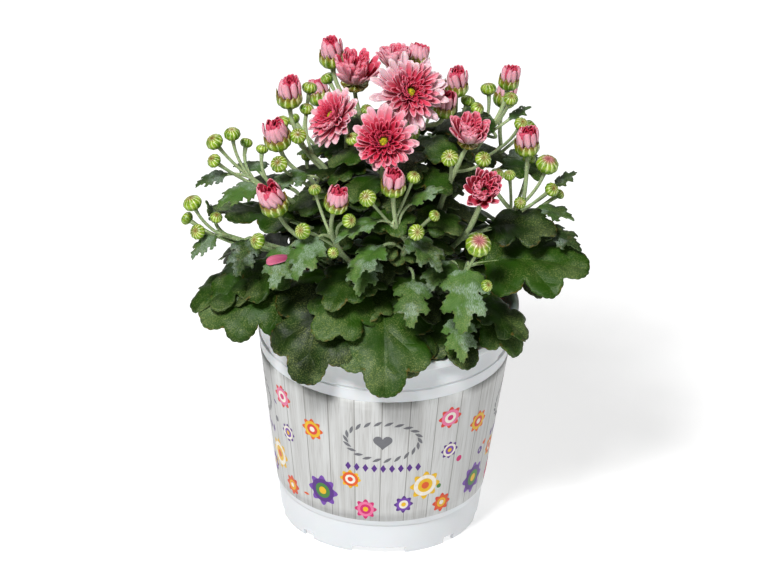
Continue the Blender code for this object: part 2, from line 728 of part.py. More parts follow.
def make_leaf(leaf, route, collection):
    """A lobed leaf on its stalk: a flat outline, bent, then given its thickness."""
    old = leaf.kind == "old"
    half = half_outline(leaf.kind, (-45, 25) if old else (-6,))
    petiole_half = 1.0 if old else 0.75
    right = [(0.0, petiole_half / leaf.length)] + half
    left = [(along, -across) for along, across in reversed(right)]
    outline = right + [(1.0, 0.0)] + left
    ribs = [(0.46, 0.0)] if old else []
    flat = [Vector(point) for point in outline + ribs]
    count = len(outline)
    edges = [(index, (index + 1) % count) for index in range(count)]
    edges += [(count + index, count + index + 1) for index in range(len(ribs) - 1)]
    flat, _, faces, *_ = delaunay_2d_cdt(flat, edges, [list(range(count))], 1, 1e-6)

    work = bmesh.new()
    corners = [work.verts.new(bent(leaf, point.x, point.y)) for point in flat]
    for face in faces:
        work.faces.new([corners[index] for index in face])
    ends = [index for index, point in enumerate(flat) if point.x < 1e-6]
    ends.sort(key=lambda index: flat[index].y)
    thick = {corners[index] for index, point in enumerate(flat) if abs(point.y) < 0.05}

    foot = Vector(leaf.foot)
    start = leaf_node(route, foot)
    ahead = (bent(leaf, 0.05, 0.0) / MM - foot).normalized()
    knots = 3 if (foot - start).length > SHORT_STALK else 2
    path = bezier(start, foot - ahead * (foot - start).length * 0.5, foot, knots)
    before = [corners[ends[0]], corners[ends[-1]]]
    span = (before[1].co - before[0].co) / 2
    for point in reversed(path[:-1]):
        after = [work.verts.new(point * MM - span), work.verts.new(point * MM + span)]
        work.faces.new([before[0], before[1], after[1]])
        work.faces.new([before[0], after[1], after[0]])
        thick.update(after)
        before = after
    bmesh.ops.recalc_face_normals(work, faces=work.faces)
    if sum(face.normal.z for face in work.faces) < 0:
        bmesh.ops.reverse_faces(work, faces=work.faces)
    work.verts.index_update()
    thick_numbers = [corner.index for corner in thick]
    mesh = mesh_from(work, "leaf")
    thing = add_object("leaf", mesh, collection)
    group = thing.vertex_groups.new(name="stalk")
    group.add(thick_numbers, 1.0, "REPLACE")
    shell = thing.modifiers.new("thickness", "SOLIDIFY")
    shell.thickness = (PETIOLE_THICKNESS if old else PETIOLE_THICKNESS * 0.75) * MM
    shell.offset = -1.0
    shell.vertex_group = group.name
    shell.thickness_vertex_group = BLADE_THICKNESS * MM / shell.thickness
    return settle(thing)


def make_shoot(shoot, parts, pool):
    """A rooted stem with its forks, leaves, buds and the cups of its flowers, as one body."""
    top = len(shoot.axis) - 1
    radii = [ROOT_RADIUS - (ROOT_RADIUS - FORK_RADIUS) * index / top for index in range(top + 1)]
    pieces = [tube(shoot.axis, radii, parts, AXIS_SIDES)]
    for fork in shoot.forks:
        pieces.append(tube(fork, [FORK_RADIUS] * len(fork), parts, FORK_SIDES))
    routes = [shoot.axis[1:]] + shoot.forks
    nodes = head_nodes(shoot, routes)
    for head in shoot.heads:
        pieces.append(head_stalk(head, nodes[head], parts))
        pieces.append(closed_bud(head, parts) if head.kind == "closed" else green_cup(head, parts))
    for leaf in shoot.leaves:
        foot = Vector(leaf.foot)
        route = min(routes, key=lambda points: min((Vector(point) - foot).length for point in points))
        pieces.append(make_leaf(leaf, route, parts))
    fuse(shoot.name, pieces, GREEN_LEAF, parts, pool)


class Layer(NamedTuple):
    """A ring of petals: how many, their length, width, root height, rise and curl in degrees, and rows."""

    count: int
    length: float
    width: float
    height: float
    rise: float
    curl: float
    rows: int


def arc(length, rise, turn, along):
    """Forward and up reached along an arc that starts at a rise and turns by an angle over its length."""
    now = rise + turn * along
    forward = length / turn * (math.sin(now) - math.sin(rise))
    up = length / turn * (math.cos(rise) - math.cos(now))
    return forward, up


def core_radius(kind, height):
    """Radius of a flower's heart at a height over its flat foot."""
    foot_radius, top_radius = CORE_RADII[kind]
    return foot_radius + (top_radius - foot_radius) * height / CORE_HEIGHT


def petal_ring(kind, layer, foot, spin, frame, collection):
    """A ring of strap petals, cut apart down to the heart, each on an arc outwards, given its thickness."""
    rise, curl = math.radians(layer.rise), math.radians(layer.curl)
    root = core_radius(kind, layer.height) + 0.35
    pitch = 2 * math.pi / layer.count
    work = bmesh.new()
    bays = []
    for index in range(layer.count):
        angle = (index + spin - 0.5) * pitch
        direction = Vector((math.cos(angle), math.sin(angle), 0.0))
        raised = Vector((0.0, 0.0, foot + layer.height))
        bays.append([work.verts.new((direction * reach + raised) * MM) for reach in (root - 1.3, root)])
    for index in range(layer.count):
        angle = (index + spin) * pitch
        out = Vector((math.cos(angle), math.sin(angle), 0.0))
        side = Vector((-math.sin(angle), math.cos(angle), 0.0))
        inner, outer = bays[index], bays[(index + 1) % layer.count]
        work.faces.new([inner[0], inner[1], outer[1]])
        work.faces.new([inner[0], outer[1], outer[0]])
        left, right = inner[1], outer[1]
        for row in range(1, layer.rows + 1):
            along = row / layer.rows
            forward, up = arc(layer.length, rise, curl, along)
            half = layer.width / 2 * (0.42 if row == layer.rows else 1.0)
            middle = out * (root + forward) + Vector((0.0, 0.0, foot + layer.height + up))
            next_left, next_right = (work.verts.new((middle + side * sign * half) * MM) for sign in (-1, 1))
            work.faces.new([left, next_left, next_right])
            work.faces.new([left, next_right, right])
            left, right = next_left, next_right
    thing = add_object("petals", mesh_from(work, "petals"), collection)
    shell = thing.modifiers.new("thickness", "SOLIDIFY")
    shell.thickness = PETAL_THICKNESS * MM
    shell.offset = 0.0
    settle(thing)
    thing.data.transform(frame)
    return thing


def flower_core(kind, foot, frame, collection):
    """The small flat-footed heart of a flower that the petals root in."""
    foot_radius, top_radius = CORE_RADII[kind]
    rings = [(foot_radius, foot), (top_radius, foot + CORE_HEIGHT)]
    return stacked("core", rings, CUP_SIDES, frame, collection)


def flower_layers(head):
    """The petal rings of a flower by its kind."""
    reach = head.width / 2
    if head.kind == "bloom":
        return [
            Layer(10, reach - 3.2, 4.8, 0.8, 6, 24, 2),
            Layer(8, reach * 0.70 - 2.4, 3.7, 2.2, 34, 22, 2),
            Layer(6, reach * 0.44 - 1.4, 2.8, 3.6, 58, 18, 1),
        ]
    return [
        Layer(8, reach * 1.15, 4.1, 0.8, 36, 40, 2),
        Layer(6, reach * 0.85, 3.0, 2.6, 62, 26, 1),
    ]


def opening_petals(head, parts):
    """The upright petals of an opening bud: a fluted crown with a point at each petal and a hollow inside."""
    width = head.width
    foot = width * 0.42 + GAP
    columns = 2 * OPENING_PETALS
    rings = [
        (0.36, 0.36, 0.0, 0.0),
        (0.45, 0.39, 0.28, 0.26),
        (0.40, 0.33, 0.70, 0.46),
        (0.14, 0.14, 0.22, 0.22),
    ]
    work = bmesh.new()
    rows = []
    for ridge_radius, valley_radius, ridge_height, valley_height in rings:
        row = []
        for column in range(columns):
            ridge = column % 2 == 0
            angle = 2 * math.pi * column / columns
            radius = width * (ridge_radius if ridge else valley_radius)
            height = foot + width * (ridge_height if ridge else valley_height)
            corner = Vector((radius * math.cos(angle), radius * math.sin(angle), height))
            row.append(work.verts.new(corner * MM))
        rows.append(row)
    for lower, upper in zip(rows, rows[1:]):
        for column in range(columns):
            following = (column + 1) % columns
            if column % 2 == 0:
                work.faces.new([lower[column], lower[following], upper[column]])
                work.faces.new([lower[following], upper[following], upper[column]])
            else:
                work.faces.new([lower[column], lower[following], upper[following]])
                work.faces.new([lower[column], upper[following], upper[column]])
    work.faces.new(list(reversed(rows[0])))
    work.faces.new(rows[-1])
    bmesh.ops.triangulate(work, faces=[face for face in work.faces if len(face.verts) > 4])
    thing = add_object(head.name, mesh_from(work, head.name), parts)
    thing.data.transform(frame_at(head.place, head.facing))
    thing.data.materials.append(material(PINK_PETAL))


def make_flower(head, parts, pool):
    """The petals of one flower on their core, as one body, seated on the flat top of its green cup."""
    if head.kind == "opening":
        opening_petals(head, parts)
        return
    frame = frame_at(head.place, head.facing)
    foot = CUP_HEIGHT + GAP
    pieces = [flower_core(head.kind, foot, frame, parts)]
    for number, layer in enumerate(flower_layers(head)):
        pieces.append(petal_ring(head.kind, layer, foot, 0.5 * number, frame, parts))
    fuse(head.name, pieces, PINK_PETAL, parts, pool)
    if head.kind == "bloom":
        make_disc(head, foot + CORE_HEIGHT + GAP, frame, parts)


def make_disc(head, foot, frame, parts):
    """The yellow disc in the middle of an open bloom."""
    rings = [(DISC_RADIUS, foot), (DISC_RADIUS * 0.6, foot + DISC_HEIGHT)]
    disc = stacked(head.name + "_disc", rings, DISC_SIDES, frame, parts)
    disc.data.materials.append(material(YELLOW_DISC))


def loose_petal(parts):
    """A petal that has dropped from a flower and lies across a young leaf."""
    rise, curl = math.radians(LOOSE_RISE), math.radians(LOOSE_CURL)
    work = bmesh.new()
    before = None
    for along, half in LOOSE_ROWS:
        forward, up = arc(LOOSE_LENGTH, rise, curl, along)
        after = [work.verts.new(Vector((forward, side * half, up)) * MM) for side in (-1, 1)]
        if before:
            work.faces.new([before[0], after[0], after[1], before[1]])
        before = after
    thing = add_object("loose_petal", mesh_from(work, "loose_petal"), parts)
    shell = thing.modifiers.new("thickness", "SOLIDIFY")
    shell.thickness = PETAL_THICKNESS * MM
    shell.offset = 0.0
    settle(thing)
    heading = Matrix.Rotation(math.radians(LOOSE_HEADING), 4, "Z")
    roll = Matrix.Rotation(math.radians(LOOSE_ROLL), 4, "X")
    thing.data.transform(Matrix.Translation(Vector(LOOSE_FOOT) * MM) @ heading @ roll)
    thing.data.materials.append(material(PINK_PETAL))


def main():
    """Clear the scene and build the pot, its soil, the stems and the flowers."""
    for thing in list(bpy.data.objects):
        bpy.data.objects.remove(thing)
    parts = bpy.data.collections.new("pot_chrysanthemum")
    cutters = bpy.data.collections.new("cutters")
    pool = bpy.data.collections.new("pieces_to_join")
    for collection in (parts, cutters, pool):
        bpy.context.scene.collection.children.link(collection)
    make_pot(parts, cutters)
    make_soil(parts, cutters)
    for shoot in SHOOTS:
        make_shoot(shoot, parts, pool)
        for head in shoot.heads:
            if head.kind != "closed":
                make_flower(head, parts, pool)
    loose_petal(parts)


main()
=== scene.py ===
"""Looks of the potted chrysanthemum: printed pot, peat, hairy stems, lobed leaves, buds and pink blooms.

Everything is in the frame of the solids: metres, +Z up, the front of the plant at -Y. Sizes below are in
millimetres until MM turns them into metres.
"""

from __future__ import annotations

import logging
import math
import random
from dataclasses import dataclass, field
from enum import Enum
from functools import partial
from typing import Any, NamedTuple

import bmesh
import bpy
import numpy as np
from mathutils import Matrix, Vector, noise
from mathutils.geometry import delaunay_2d_cdt

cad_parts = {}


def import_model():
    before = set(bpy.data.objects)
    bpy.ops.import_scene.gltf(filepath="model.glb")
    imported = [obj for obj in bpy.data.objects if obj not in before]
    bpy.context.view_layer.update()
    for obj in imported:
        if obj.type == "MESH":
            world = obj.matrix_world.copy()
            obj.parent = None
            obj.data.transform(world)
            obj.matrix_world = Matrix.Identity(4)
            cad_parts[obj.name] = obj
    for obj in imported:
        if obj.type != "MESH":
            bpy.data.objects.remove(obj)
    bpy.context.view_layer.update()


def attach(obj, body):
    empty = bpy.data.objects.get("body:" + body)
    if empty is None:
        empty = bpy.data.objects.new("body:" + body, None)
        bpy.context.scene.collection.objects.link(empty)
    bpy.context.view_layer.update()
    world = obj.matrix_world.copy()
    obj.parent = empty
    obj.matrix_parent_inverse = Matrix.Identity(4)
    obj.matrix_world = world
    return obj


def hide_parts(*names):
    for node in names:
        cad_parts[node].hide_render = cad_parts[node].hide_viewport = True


log = logging.getLogger("chrysanthemum")

MM = 0.001
BODY = "root"
GAP = 0.3

# Pot
POT_HEIGHT = 115.0
RIM_RADIUS = 65.0
RIM_DEPTH = 4.4
RIM_WIDTH = 3.6
COLLAR_FOOT = 98.5
COLLAR_RADIUS = 61.6
BAND_FOOT = 17.5
BAND_FOOT_RADIUS = 50.6
FOOT_RADIUS = 48.0
FOOT_WALL = 1.8
FLOOR_UNDERSIDE = 4.2
WALL = 1.3
SOIL_TOP = 105.5

# Stems
ROOT_RADIUS = 2.6
FORK_RADIUS = 1.25
CLOSED_STALK = 0.78
OPEN_STALK = 1.05
PETIOLE_SLOPE = 0.5
LOWEST_AXIS_NODE = 0.7
LOWEST_FORK_NODE = 0.45

# Flowers
CUP_HEIGHT = 3.2
BULB_HEIGHT = 0.42
RIPE_WIDTH = 10.5
CORE_HEIGHT = 4.8
CORE_RADII = {"bloom": (3.8, 2.6), "cup": (3.4, 2.2)}
DISC_RADIUS = 2.0
GOLDEN_ANGLE = 137.508
RIBS = 12

# Loose petal: its narrow foot, heading, roll, rise and curl in degrees
LOOSE_FOOT = (-44.5, -53.9, 166.9)
LOOSE_HEADING = 184.0
LOOSE_ROLL = -28.0
LOOSE_RISE = -12.0
LOOSE_CURL = -14.0
LOOSE_LENGTH = 14.0
LOOSE_WIDTH = 5.2

# Camera
IMAGE_WIDTH = 772
CAMERA_ELEVATION = 29.0
CAMERA_ROLL = 1.7
CAMERA_DISTANCE = 5000.0
PIXEL = 0.486
AIM_HEIGHT = 120.7


class Bud(Enum):
    """How far a head has opened."""

    CLOSED = "closed"
    OPENING = "opening"
    CUP = "cup"
    BLOOM = "bloom"


class Age(Enum):
    """Old leaves are broad and round-lobed, young ones narrow and sharp-lobed."""

    OLD = "old"
    YOUNG = "young"


CLOSED, OPENING, CUP, BLOOM = Bud
OLD, YOUNG = Age


class Head(NamedTuple):
    """A bud or flower: its fork, where its cup ends, its width, where it faces, its stage and its name."""

    fork: int
    place: tuple
    width: float
    facing: tuple
    kind: Bud = Bud.CLOSED
    name: str = ""


class Leaf(NamedTuple):
    """A leaf: its age, the foot of its blade, heading, rise and droop in degrees, length, and roll."""

    kind: Age
    foot: tuple
    heading: float
    rise: float
    droop: float
    length: float
    roll: float = 0.0


class Lobe(NamedTuple):
    """One lobe of half a leaf, in leaf lengths: its foot, direction in degrees, length and half width."""

    along: float
    across: float
    direction: float
    length: float
    half_width: float


@dataclass(frozen=True)
class Shoot:
    """A rooted stem: its axis from the soil up, its forks as lists of points, its heads and its leaves."""

    name: str
    axis: list
    forks: list
    heads: list
    leaves: list

    def routes(self) -> list:
        """Axis above the soil and the forks."""
        return [self.axis[1:]] + self.forks

    def head_nodes(self) -> dict:
        """Find where each head's stalk leaves its route: the lower the head, the lower down the route.

        Returns:
            The starting point of each head's stalk.
        """
        nodes = {}
        for number, route in enumerate(self.routes()):
            heads = [head for head in self.heads if head.fork == number]
            heads.sort(key=lambda head: head.place[2])
            lowest = LOWEST_AXIS_NODE if number == 0 else LOWEST_FORK_NODE
            for rank, head in enumerate(heads):
                fraction = lowest + (1.0 - lowest) * (rank + 1) / len(heads)
                nodes[head] = route_point(route, fraction)
        return nodes

    def leaf_node(self, leaf: Leaf) -> Vector:
        """Find the point of a stem from which a leaf's stalk climbs most directly to the leaf.

        Args:
            leaf: The leaf.

        Returns:
            The starting point of its stalk.
        """
        foot = Vector(leaf.foot)
        route = min(self.routes(), key=lambda points: min((Vector(point) - foot).length for point in points))
        best_miss, best_point = math.inf, foot
        for step in range(4, 45):
            point = route_point(route, step / 50)
            reach = foot - point
            miss = abs(reach.z - PETIOLE_SLOPE * reach.xy.length) + 0.35 * reach.length
            if miss < best_miss:
                best_miss, best_point = miss, point
        return best_point


def route_point(route: list, fraction: float) -> Vector:
    """Find the point at a fraction of the length of a route.

    Args:
        route: Points of the route.
        fraction: How far along, from 0 to 1.

    Returns:
        The point.
    """
    lengths = [(Vector(second) - Vector(first)).length for first, second in zip(route, route[1:])]
    left = fraction * sum(lengths)
    for first, second, length in zip(route, route[1:], lengths):
        if left <= length:
            return Vector(first).lerp(Vector(second), left / length)
        left -= length
    return Vector(route[-1])


def wall_radius(height: Any) -> Any:
    """Outer radius of the pot's tapered wall at a height, or at each of an array of heights."""
    taper = (COLLAR_RADIUS - BAND_FOOT_RADIUS) / (COLLAR_FOOT - BAND_FOOT)
    return BAND_FOOT_RADIUS + taper * (height - BAND_FOOT)


def frame_at(place: tuple, facing: tuple) -> Matrix:
    """Matrix that puts the local origin at a place in millimetres and local +Z along a direction."""
    turn = Vector(facing).normalized().to_track_quat("Z", "Y").to_matrix().to_4x4()
    return Matrix.Translation(Vector(place) * MM) @ turn


def arc(length: float, rise: float, turn: float, along: Any) -> tuple:
    """Trace an arc that starts at a rise and turns by an angle over its length.

    Args:
        length: Length of the arc.
        rise: Angle over the level at its start, in radians.
        turn: Angle by which it turns in all, in radians.
        along: How far along, from 0 to 1, as a number or an array.

    Returns:
        The way gone forward and up.
    """
    now = rise + turn * along
    forward = length / turn * (np.sin(now) - math.sin(rise))
    up = length / turn * (math.cos(rise) - np.cos(now))
    return forward, up


def bezier(start: Vector, handle: Vector, end: Vector, count: int) -> list:
    """Points of a quadratic curve, both ends included."""
    steps = [step / (count - 1) for step in range(count)]
    return [start * (1 - t) ** 2 + handle * 2 * t * (1 - t) + end * t * t for t in steps]


def smoothed(points: list, radii: list, pieces: int) -> tuple:
    """Draw a smooth curve through points.

    Args:
        points: The points to pass through.
        radii: A radius for each point.
        pieces: How many stretches each step is cut into.

    Returns:
        The denser points and their radii.
    """
    knots = [Vector(point) for point in points]
    knots = [knots[0] * 2 - knots[1]] + knots + [knots[-1] * 2 - knots[-2]]
    places, widths = [], []
    for index in range(1, len(knots) - 2):
        before, first, second, after = knots[index - 1 : index + 3]
        for step in range(pieces + (index == len(knots) - 3)):
            t = step / pieces
            cubic = -before + first * 3 - second * 3 + after
            square = before * 2 - first * 5 + second * 4 - after
            places.append((first * 2 + (second - before) * t + square * t**2 + cubic * t**3) / 2)
            widths.append(radii[index - 1] + (radii[index] - radii[index - 1]) * t)
    return places, widths


def resampled(outline: np.ndarray, spacing: float) -> np.ndarray:
    """Put evenly spaced points round a closed outline.

    Args:
        outline: Its corners.
        spacing: Rough distance between the new points.

    Returns:
        The new points.
    """
    closed = np.vstack([outline, outline[:1]])
    steps = np.linalg.norm(np.diff(closed, axis=0), axis=1)
    gone = np.concatenate([[0.0], np.cumsum(steps)])
    wanted = np.linspace(0.0, gone[-1], max(8, round(gone[-1] / spacing)), endpoint=False)
    return np.column_stack([np.interp(wanted, gone, closed[:, axis]) for axis in range(2)])


def inside(points: np.ndarray, outline: np.ndarray) -> np.ndarray:
    """Tell which points lie inside a closed outline.

    Args:
        points: The points to test.
        outline: Corners of the outline.

    Returns:
        One truth value for each point.
    """
    odd = np.zeros(len(points), bool)
    for first, second in zip(outline, np.roll(outline, -1, axis=0)):
        crosses = (first[1] > points[:, 1]) != (second[1] > points[:, 1])
        height = second[1] - first[1] if second[1] != first[1] else 1e-12
        reach = (second[0] - first[0]) * (points[:, 1] - first[1]) / height + first[0]
        odd ^= crosses & (points[:, 0] < reach)
    return odd


def edge_distance(points: np.ndarray, outline: np.ndarray) -> np.ndarray:
    """Distance of each point to the nearest corner of a densely drawn outline."""
    return np.min(np.linalg.norm(points[:, None, :] - outline[None, :, :], axis=2), axis=1)


def filled(outline: np.ndarray, spacing: float) -> tuple:
    """Fill an outline with evenly spread triangles.

    Args:
        outline: Corners of the outline, about a spacing apart.
        spacing: Rough length of a triangle's side.

    Returns:
        The points, the outline's first, and the triangles.
    """
    low, high = outline.min(axis=0), outline.max(axis=0)
    rows = np.arange(low[1], high[1], spacing * 0.866)
    grid = [
        (x, y)
        for number, y in enumerate(rows)
        for x in np.arange(low[0] + (number % 2) * spacing / 2, high[0], spacing)
    ]
    grid = np.array(grid)
    grid = grid[inside(grid, outline)]
    grid = grid[edge_distance(grid, outline) > spacing * 0.55]
    points = [Vector(point) for point in np.vstack([outline, grid]).tolist()]
    count = len(outline)
    edges = [(index, (index + 1) % count) for index in range(count)]
    places, _, faces, *_ = delaunay_2d_cdt(points, edges, [list(range(count))], 1, 1e-7)
    return np.array([tuple(place) for place in places]), [tuple(face) for face in faces]


class Draft:
    """Corners, faces and per-corner values gathered for one mesh."""

    def __init__(self) -> None:
        """Start empty."""
        self.places: list[np.ndarray] = []
        self.faces: list[tuple] = []
        self.uv: list[np.ndarray] = []
        self.values: dict[str, list[np.ndarray]] = {}
        self.count = 0

    def add(self, places: np.ndarray, faces: list, uv: np.ndarray, **values: Any) -> None:
        """Add a sheet.

        Args:
            places: Its corners in millimetres.
            faces: Its faces as corner numbers.
            uv: A pair for each corner.
            values: A number or an array of numbers for each named attribute.
        """
        self.places.append(places)
        self.uv.append(uv)
        self.faces.extend(tuple(int(corner) + self.count for corner in face) for face in faces)
        for name, value in values.items():
            self.values.setdefault(name, []).append(np.broadcast_to(value, len(places)))
        self.count += len(places)

    def shell(
        self, places: np.ndarray, faces: list, loop: list, uv: np.ndarray, thick: float, **values: Any
    ) -> None:
        """Add a sheet with a thickness, its back marked by the value called back.

        Args:
            places: Corners of the sheet in millimetres.
            faces: Its faces, all with as many corners.
            loop: Corner numbers round its edge, the way its faces turn.
            uv: A pair for each corner.
            thick: Its thickness in millimetres.
            values: A number or an array of numbers for each named attribute.
        """
        corners = np.array(faces)
        first, second, third = (places[corners[:, index]] for index in range(3))
        away = np.zeros_like(places)
        for column in corners.T:
            np.add.at(away, column, np.cross(second - first, third - first))
        away *= thick / 2 / np.maximum(np.linalg.norm(away, axis=1, keepdims=True), 1e-9)
        count = len(places)
        whole = list(faces) + [tuple(count + corner for corner in reversed(face)) for face in faces]
        for now, after in zip(loop, loop[1:] + loop[:1]):
            whole.append((after, now, count + now, count + after))
        doubled = {name: np.tile(np.broadcast_to(value, count), 2) for name, value in values.items()}
        back = np.repeat([0.0, 1.0], count)
        self.add(np.vstack([places + away, places - away]), whole, np.vstack([uv, uv]), back=back, **doubled)

    def mesh(self, name: str, finish: Finish | None = None) -> bpy.types.Mesh:
        """Turn everything gathered into one mesh.

        Args:
            name: Name of the mesh.
            finish: What it is coated with.

        Returns:
            The mesh, shaded smooth, in metres.
        """
        made = bpy.data.meshes.new(name)
        made.from_pydata(np.vstack(self.places) * MM, [], self.faces)
        corners = np.empty(len(made.loops), int)
        made.loops.foreach_get("vertex_index", corners)
        layer = made.uv_layers.new(name="shape")
        layer.data.foreach_set("uv", np.vstack(self.uv)[corners].astype(np.float32).ravel())
        for label, parts in self.values.items():
            attribute = made.attributes.new(label, "FLOAT", "POINT")
            attribute.data.foreach_set("value", np.concatenate(parts).astype(np.float32))
        made.shade_smooth()
        if finish:
            made.materials.append(finish.material)
        return made


def grid_faces(rows: int, columns: int, wrap: bool = False) -> list:
    """Quads of a grid of corners.

    Args:
        rows: Number of rows of corners.
        columns: Number of corners in a row.
        wrap: Whether the last column joins the first.

    Returns:
        The faces as corner numbers.
    """
    faces = []
    for row in range(rows - 1):
        for column in range(columns if wrap else columns - 1):
            right = (column + 1) % columns
            low, high = row * columns, (row + 1) * columns
            faces.append((low + column, low + right, high + right, high + column))
    return faces


def lathe(profile: np.ndarray, steps: int) -> tuple:
    """Turn a profile round the Z axis.

    Args:
        profile: Rows of (radius, height).
        steps: Corners in each ring.

    Returns:
        Corners and a pair (turn, row) for each.
    """
    angles = np.linspace(0.0, 2 * math.pi, steps, endpoint=False)
    radius, height = profile[:, :1], profile[:, 1:2]
    places = np.stack([radius * np.cos(angles), radius * np.sin(angles), height + 0 * angles], axis=2)
    turn, row = np.meshgrid(angles / (2 * math.pi), np.linspace(0.0, 1.0, len(profile)))
    return places.reshape(-1, 3), np.column_stack([turn.ravel(), row.ravel()])


def closed_lathe(profile: np.ndarray, steps: int) -> tuple:
    """Turn a profile that starts and ends near the axis, and close it there.

    Args:
        profile: Rows of (radius, height).
        steps: Corners in each ring.

    Returns:
        Corners, a pair (turn, row) for each, and faces that point outwards if the profile runs upwards.
    """
    faces = grid_faces(len(profile), steps, wrap=True)
    last = (len(profile) - 1) * steps
    faces += [tuple(range(steps))[::-1], tuple(range(last, last + steps))]
    return *lathe(profile, steps), faces


def freed(name: str, work: bmesh.types.BMesh) -> bpy.types.Mesh:
    """Turn a shape under work into a mesh, and free it.

    Args:
        name: Name of the mesh.
        work: The shape.

    Returns:
        The mesh.
    """
    made = bpy.data.meshes.new(name)
    work.to_mesh(made)
    work.free()
    return made


def add_object(name: str, data: Any) -> bpy.types.Object:
    """Link a new object that shows a mesh or curve.

    Args:
        name: Its name.
        data: The mesh or curve.

    Returns:
        The object.
    """
    made = bpy.data.objects.new(name, data)
    bpy.context.scene.collection.objects.link(made)
    return made


def settled(thing: bpy.types.Object) -> bpy.types.Mesh:
    """Take the mesh that an object's modifiers make, and remove the object.

    Args:
        thing: The object with its modifiers.

    Returns:
        The plain mesh.
    """
    bpy.context.view_layer.update()
    mesh = bpy.data.meshes.new_from_object(thing.evaluated_get(bpy.context.evaluated_depsgraph_get()))
    mesh.name = thing.name
    bpy.data.objects.remove(thing)
    return mesh


def joined(name: str, meshes: list) -> bpy.types.Mesh:
    """Join meshes that share their material slots into one.

    Args:
        name: Name of the new mesh.
        meshes: The meshes to join.

    Returns:
        The joined mesh, with the first one's materials.
    """
    work = bmesh.new()
    for mesh in meshes:
        work.from_mesh(mesh)
    made = freed(name, work)
    for slot in meshes[0].materials:
        made.materials.append(slot)
    return made


def piece(name: str, mesh: bpy.types.Mesh, slot: str, *nodes: str) -> bpy.types.Object:
    """Show a finished mesh as a piece of the plant.

    Args:
        name: Name of the piece.
        mesh: Its mesh, in place.
        slot: The record's material slot for it; not used.
        nodes: The solids that it stands for.

    Returns:
        The piece.
    """
    made = add_object(name, mesh)
    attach(made, BODY)
    if nodes:
        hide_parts(*nodes)
    triangles = sum(len(face.vertices) - 2 for face in mesh.polygons)
    log.info("%s: %d triangles", name, triangles)
    return made


def linear(code: str) -> tuple:
    """Turn an sRGB hex colour into linear red, green and blue, with a full alpha.

    Args:
        code: Six hex digits.

    Returns:
        The four channels.
    """
    channels = []
    for start in (0, 2, 4):
        value = int(code[start : start + 2], 16) / 255
        channels.append(value / 12.92 if value <= 0.04045 else ((value + 0.055) / 1.055) ** 2.4)
    return (*channels, 1.0)


def arithmetic(operation: str, swapped: bool = False) -> Any:
    """Make the method for one sum, such as + or a sine, that a wire can be used in.

    Args:
        operation: The sum's name in Blender.
        swapped: Whether the other number comes first.

    Returns:
        The method.
    """

    def combine(wire: Wire, other: Any = 0.0) -> Wire:
        """Do the sum with this wire and another number."""
        pair = (other, wire) if swapped else (wire, other)
        return add_node(wire.node.id_data, "ShaderNodeMath", dict(enumerate(pair)), operation=operation)

    return combine


class Wire:
    """A wire from one output of a node, which can be used in sums."""

    def __init__(self, node: bpy.types.Node, output: Any = None) -> None:
        """Start at a named output, or else at the first one in use."""
        self.node = node
        in_use = (socket for socket in node.outputs if socket.enabled)
        self.socket = next(in_use, None) if output is None else node.outputs[output]

    def __getitem__(self, output: str) -> Wire:
        """Another output of the same node."""
        return Wire(self.node, output)

    __add__ = __radd__ = arithmetic("ADD")
    __sub__ = arithmetic("SUBTRACT")
    __rsub__ = arithmetic("SUBTRACT", swapped=True)
    __mul__ = __rmul__ = arithmetic("MULTIPLY")
    __truediv__ = arithmetic("DIVIDE")
    __mod__ = arithmetic("MODULO")
    __abs__ = arithmetic("ABSOLUTE")
    floor = arithmetic("FLOOR")
    root = arithmetic("SQRT")
    sine = arithmetic("SINE")
    cosine = arithmetic("COSINE")
    least = arithmetic("MINIMUM")
    most = arithmetic("MAXIMUM")

    def eased(self, low: float, high: float) -> Wire:
        """Rise softly from 0 at the low value to 1 at the high one."""
        inputs = {"Value": self, "From Min": low, "From Max": high}
        return add_node(self.node.id_data, "ShaderNodeMapRange", inputs, interpolation_type="SMOOTHSTEP")


def connect(node: bpy.types.Node, inputs: dict) -> None:
    """Give inputs of a node their values, hex colours or wires.

    Args:
        node: The node.
        inputs: A value, a hex colour or a wire by each input's name or number.
    """
    for key, value in inputs.items():
        socket = node.inputs[key]
        if isinstance(value, Wire):
            node.id_data.links.new(value.socket, socket)
        else:
            is_colour = socket.type == "RGBA" and isinstance(value, str)
            socket.default_value = linear(value) if is_colour else value


def add_node(
    tree: bpy.types.NodeTree, kind: str, inputs: dict | None = None, stops: Any = (), **settings: Any
) -> Wire:
    """Add a node with its settings, input values and links.

    Args:
        tree: The node tree.
        kind: The node's type.
        inputs: A value, a hex colour or a wire for each input, by name or number.
        stops: Pairs of a position and a hex colour, for a colour ramp.
        settings: Values of the node's own properties.

    Returns:
        A wire from its first output in use.
    """
    node = tree.nodes.new(kind)
    for name, value in settings.items():
        setattr(node, name, value)
    for _ in stops[2:]:
        node.color_ramp.elements.new(0.5)
    for number, (position, code) in enumerate(stops):
        node.color_ramp.elements[number].position = position
        node.color_ramp.elements[number].color = linear(code)
    connect(node, inputs or {})
    return Wire(node)


# Half a leaf, lobe by lobe, with the bottom of each bay between two lobes
OLD_LOBES = [
    Lobe(0.24, 0.07, 72, 0.36, 0.17),
    Lobe(0.48, 0.07, 46, 0.39, 0.16),
    Lobe(0.60, 0.0, 0, 0.40, 0.19),
]
OLD_BAYS = [(0.45, 0.25), (0.75, 0.20)]
YOUNG_LOBES = [
    Lobe(0.20, 0.05, 60, 0.35, 0.14),
    Lobe(0.44, 0.05, 44, 0.38, 0.14),
    Lobe(0.60, 0.0, 0, 0.40, 0.15),
]
YOUNG_BAYS = [(0.41, 0.19), (0.71, 0.155)]

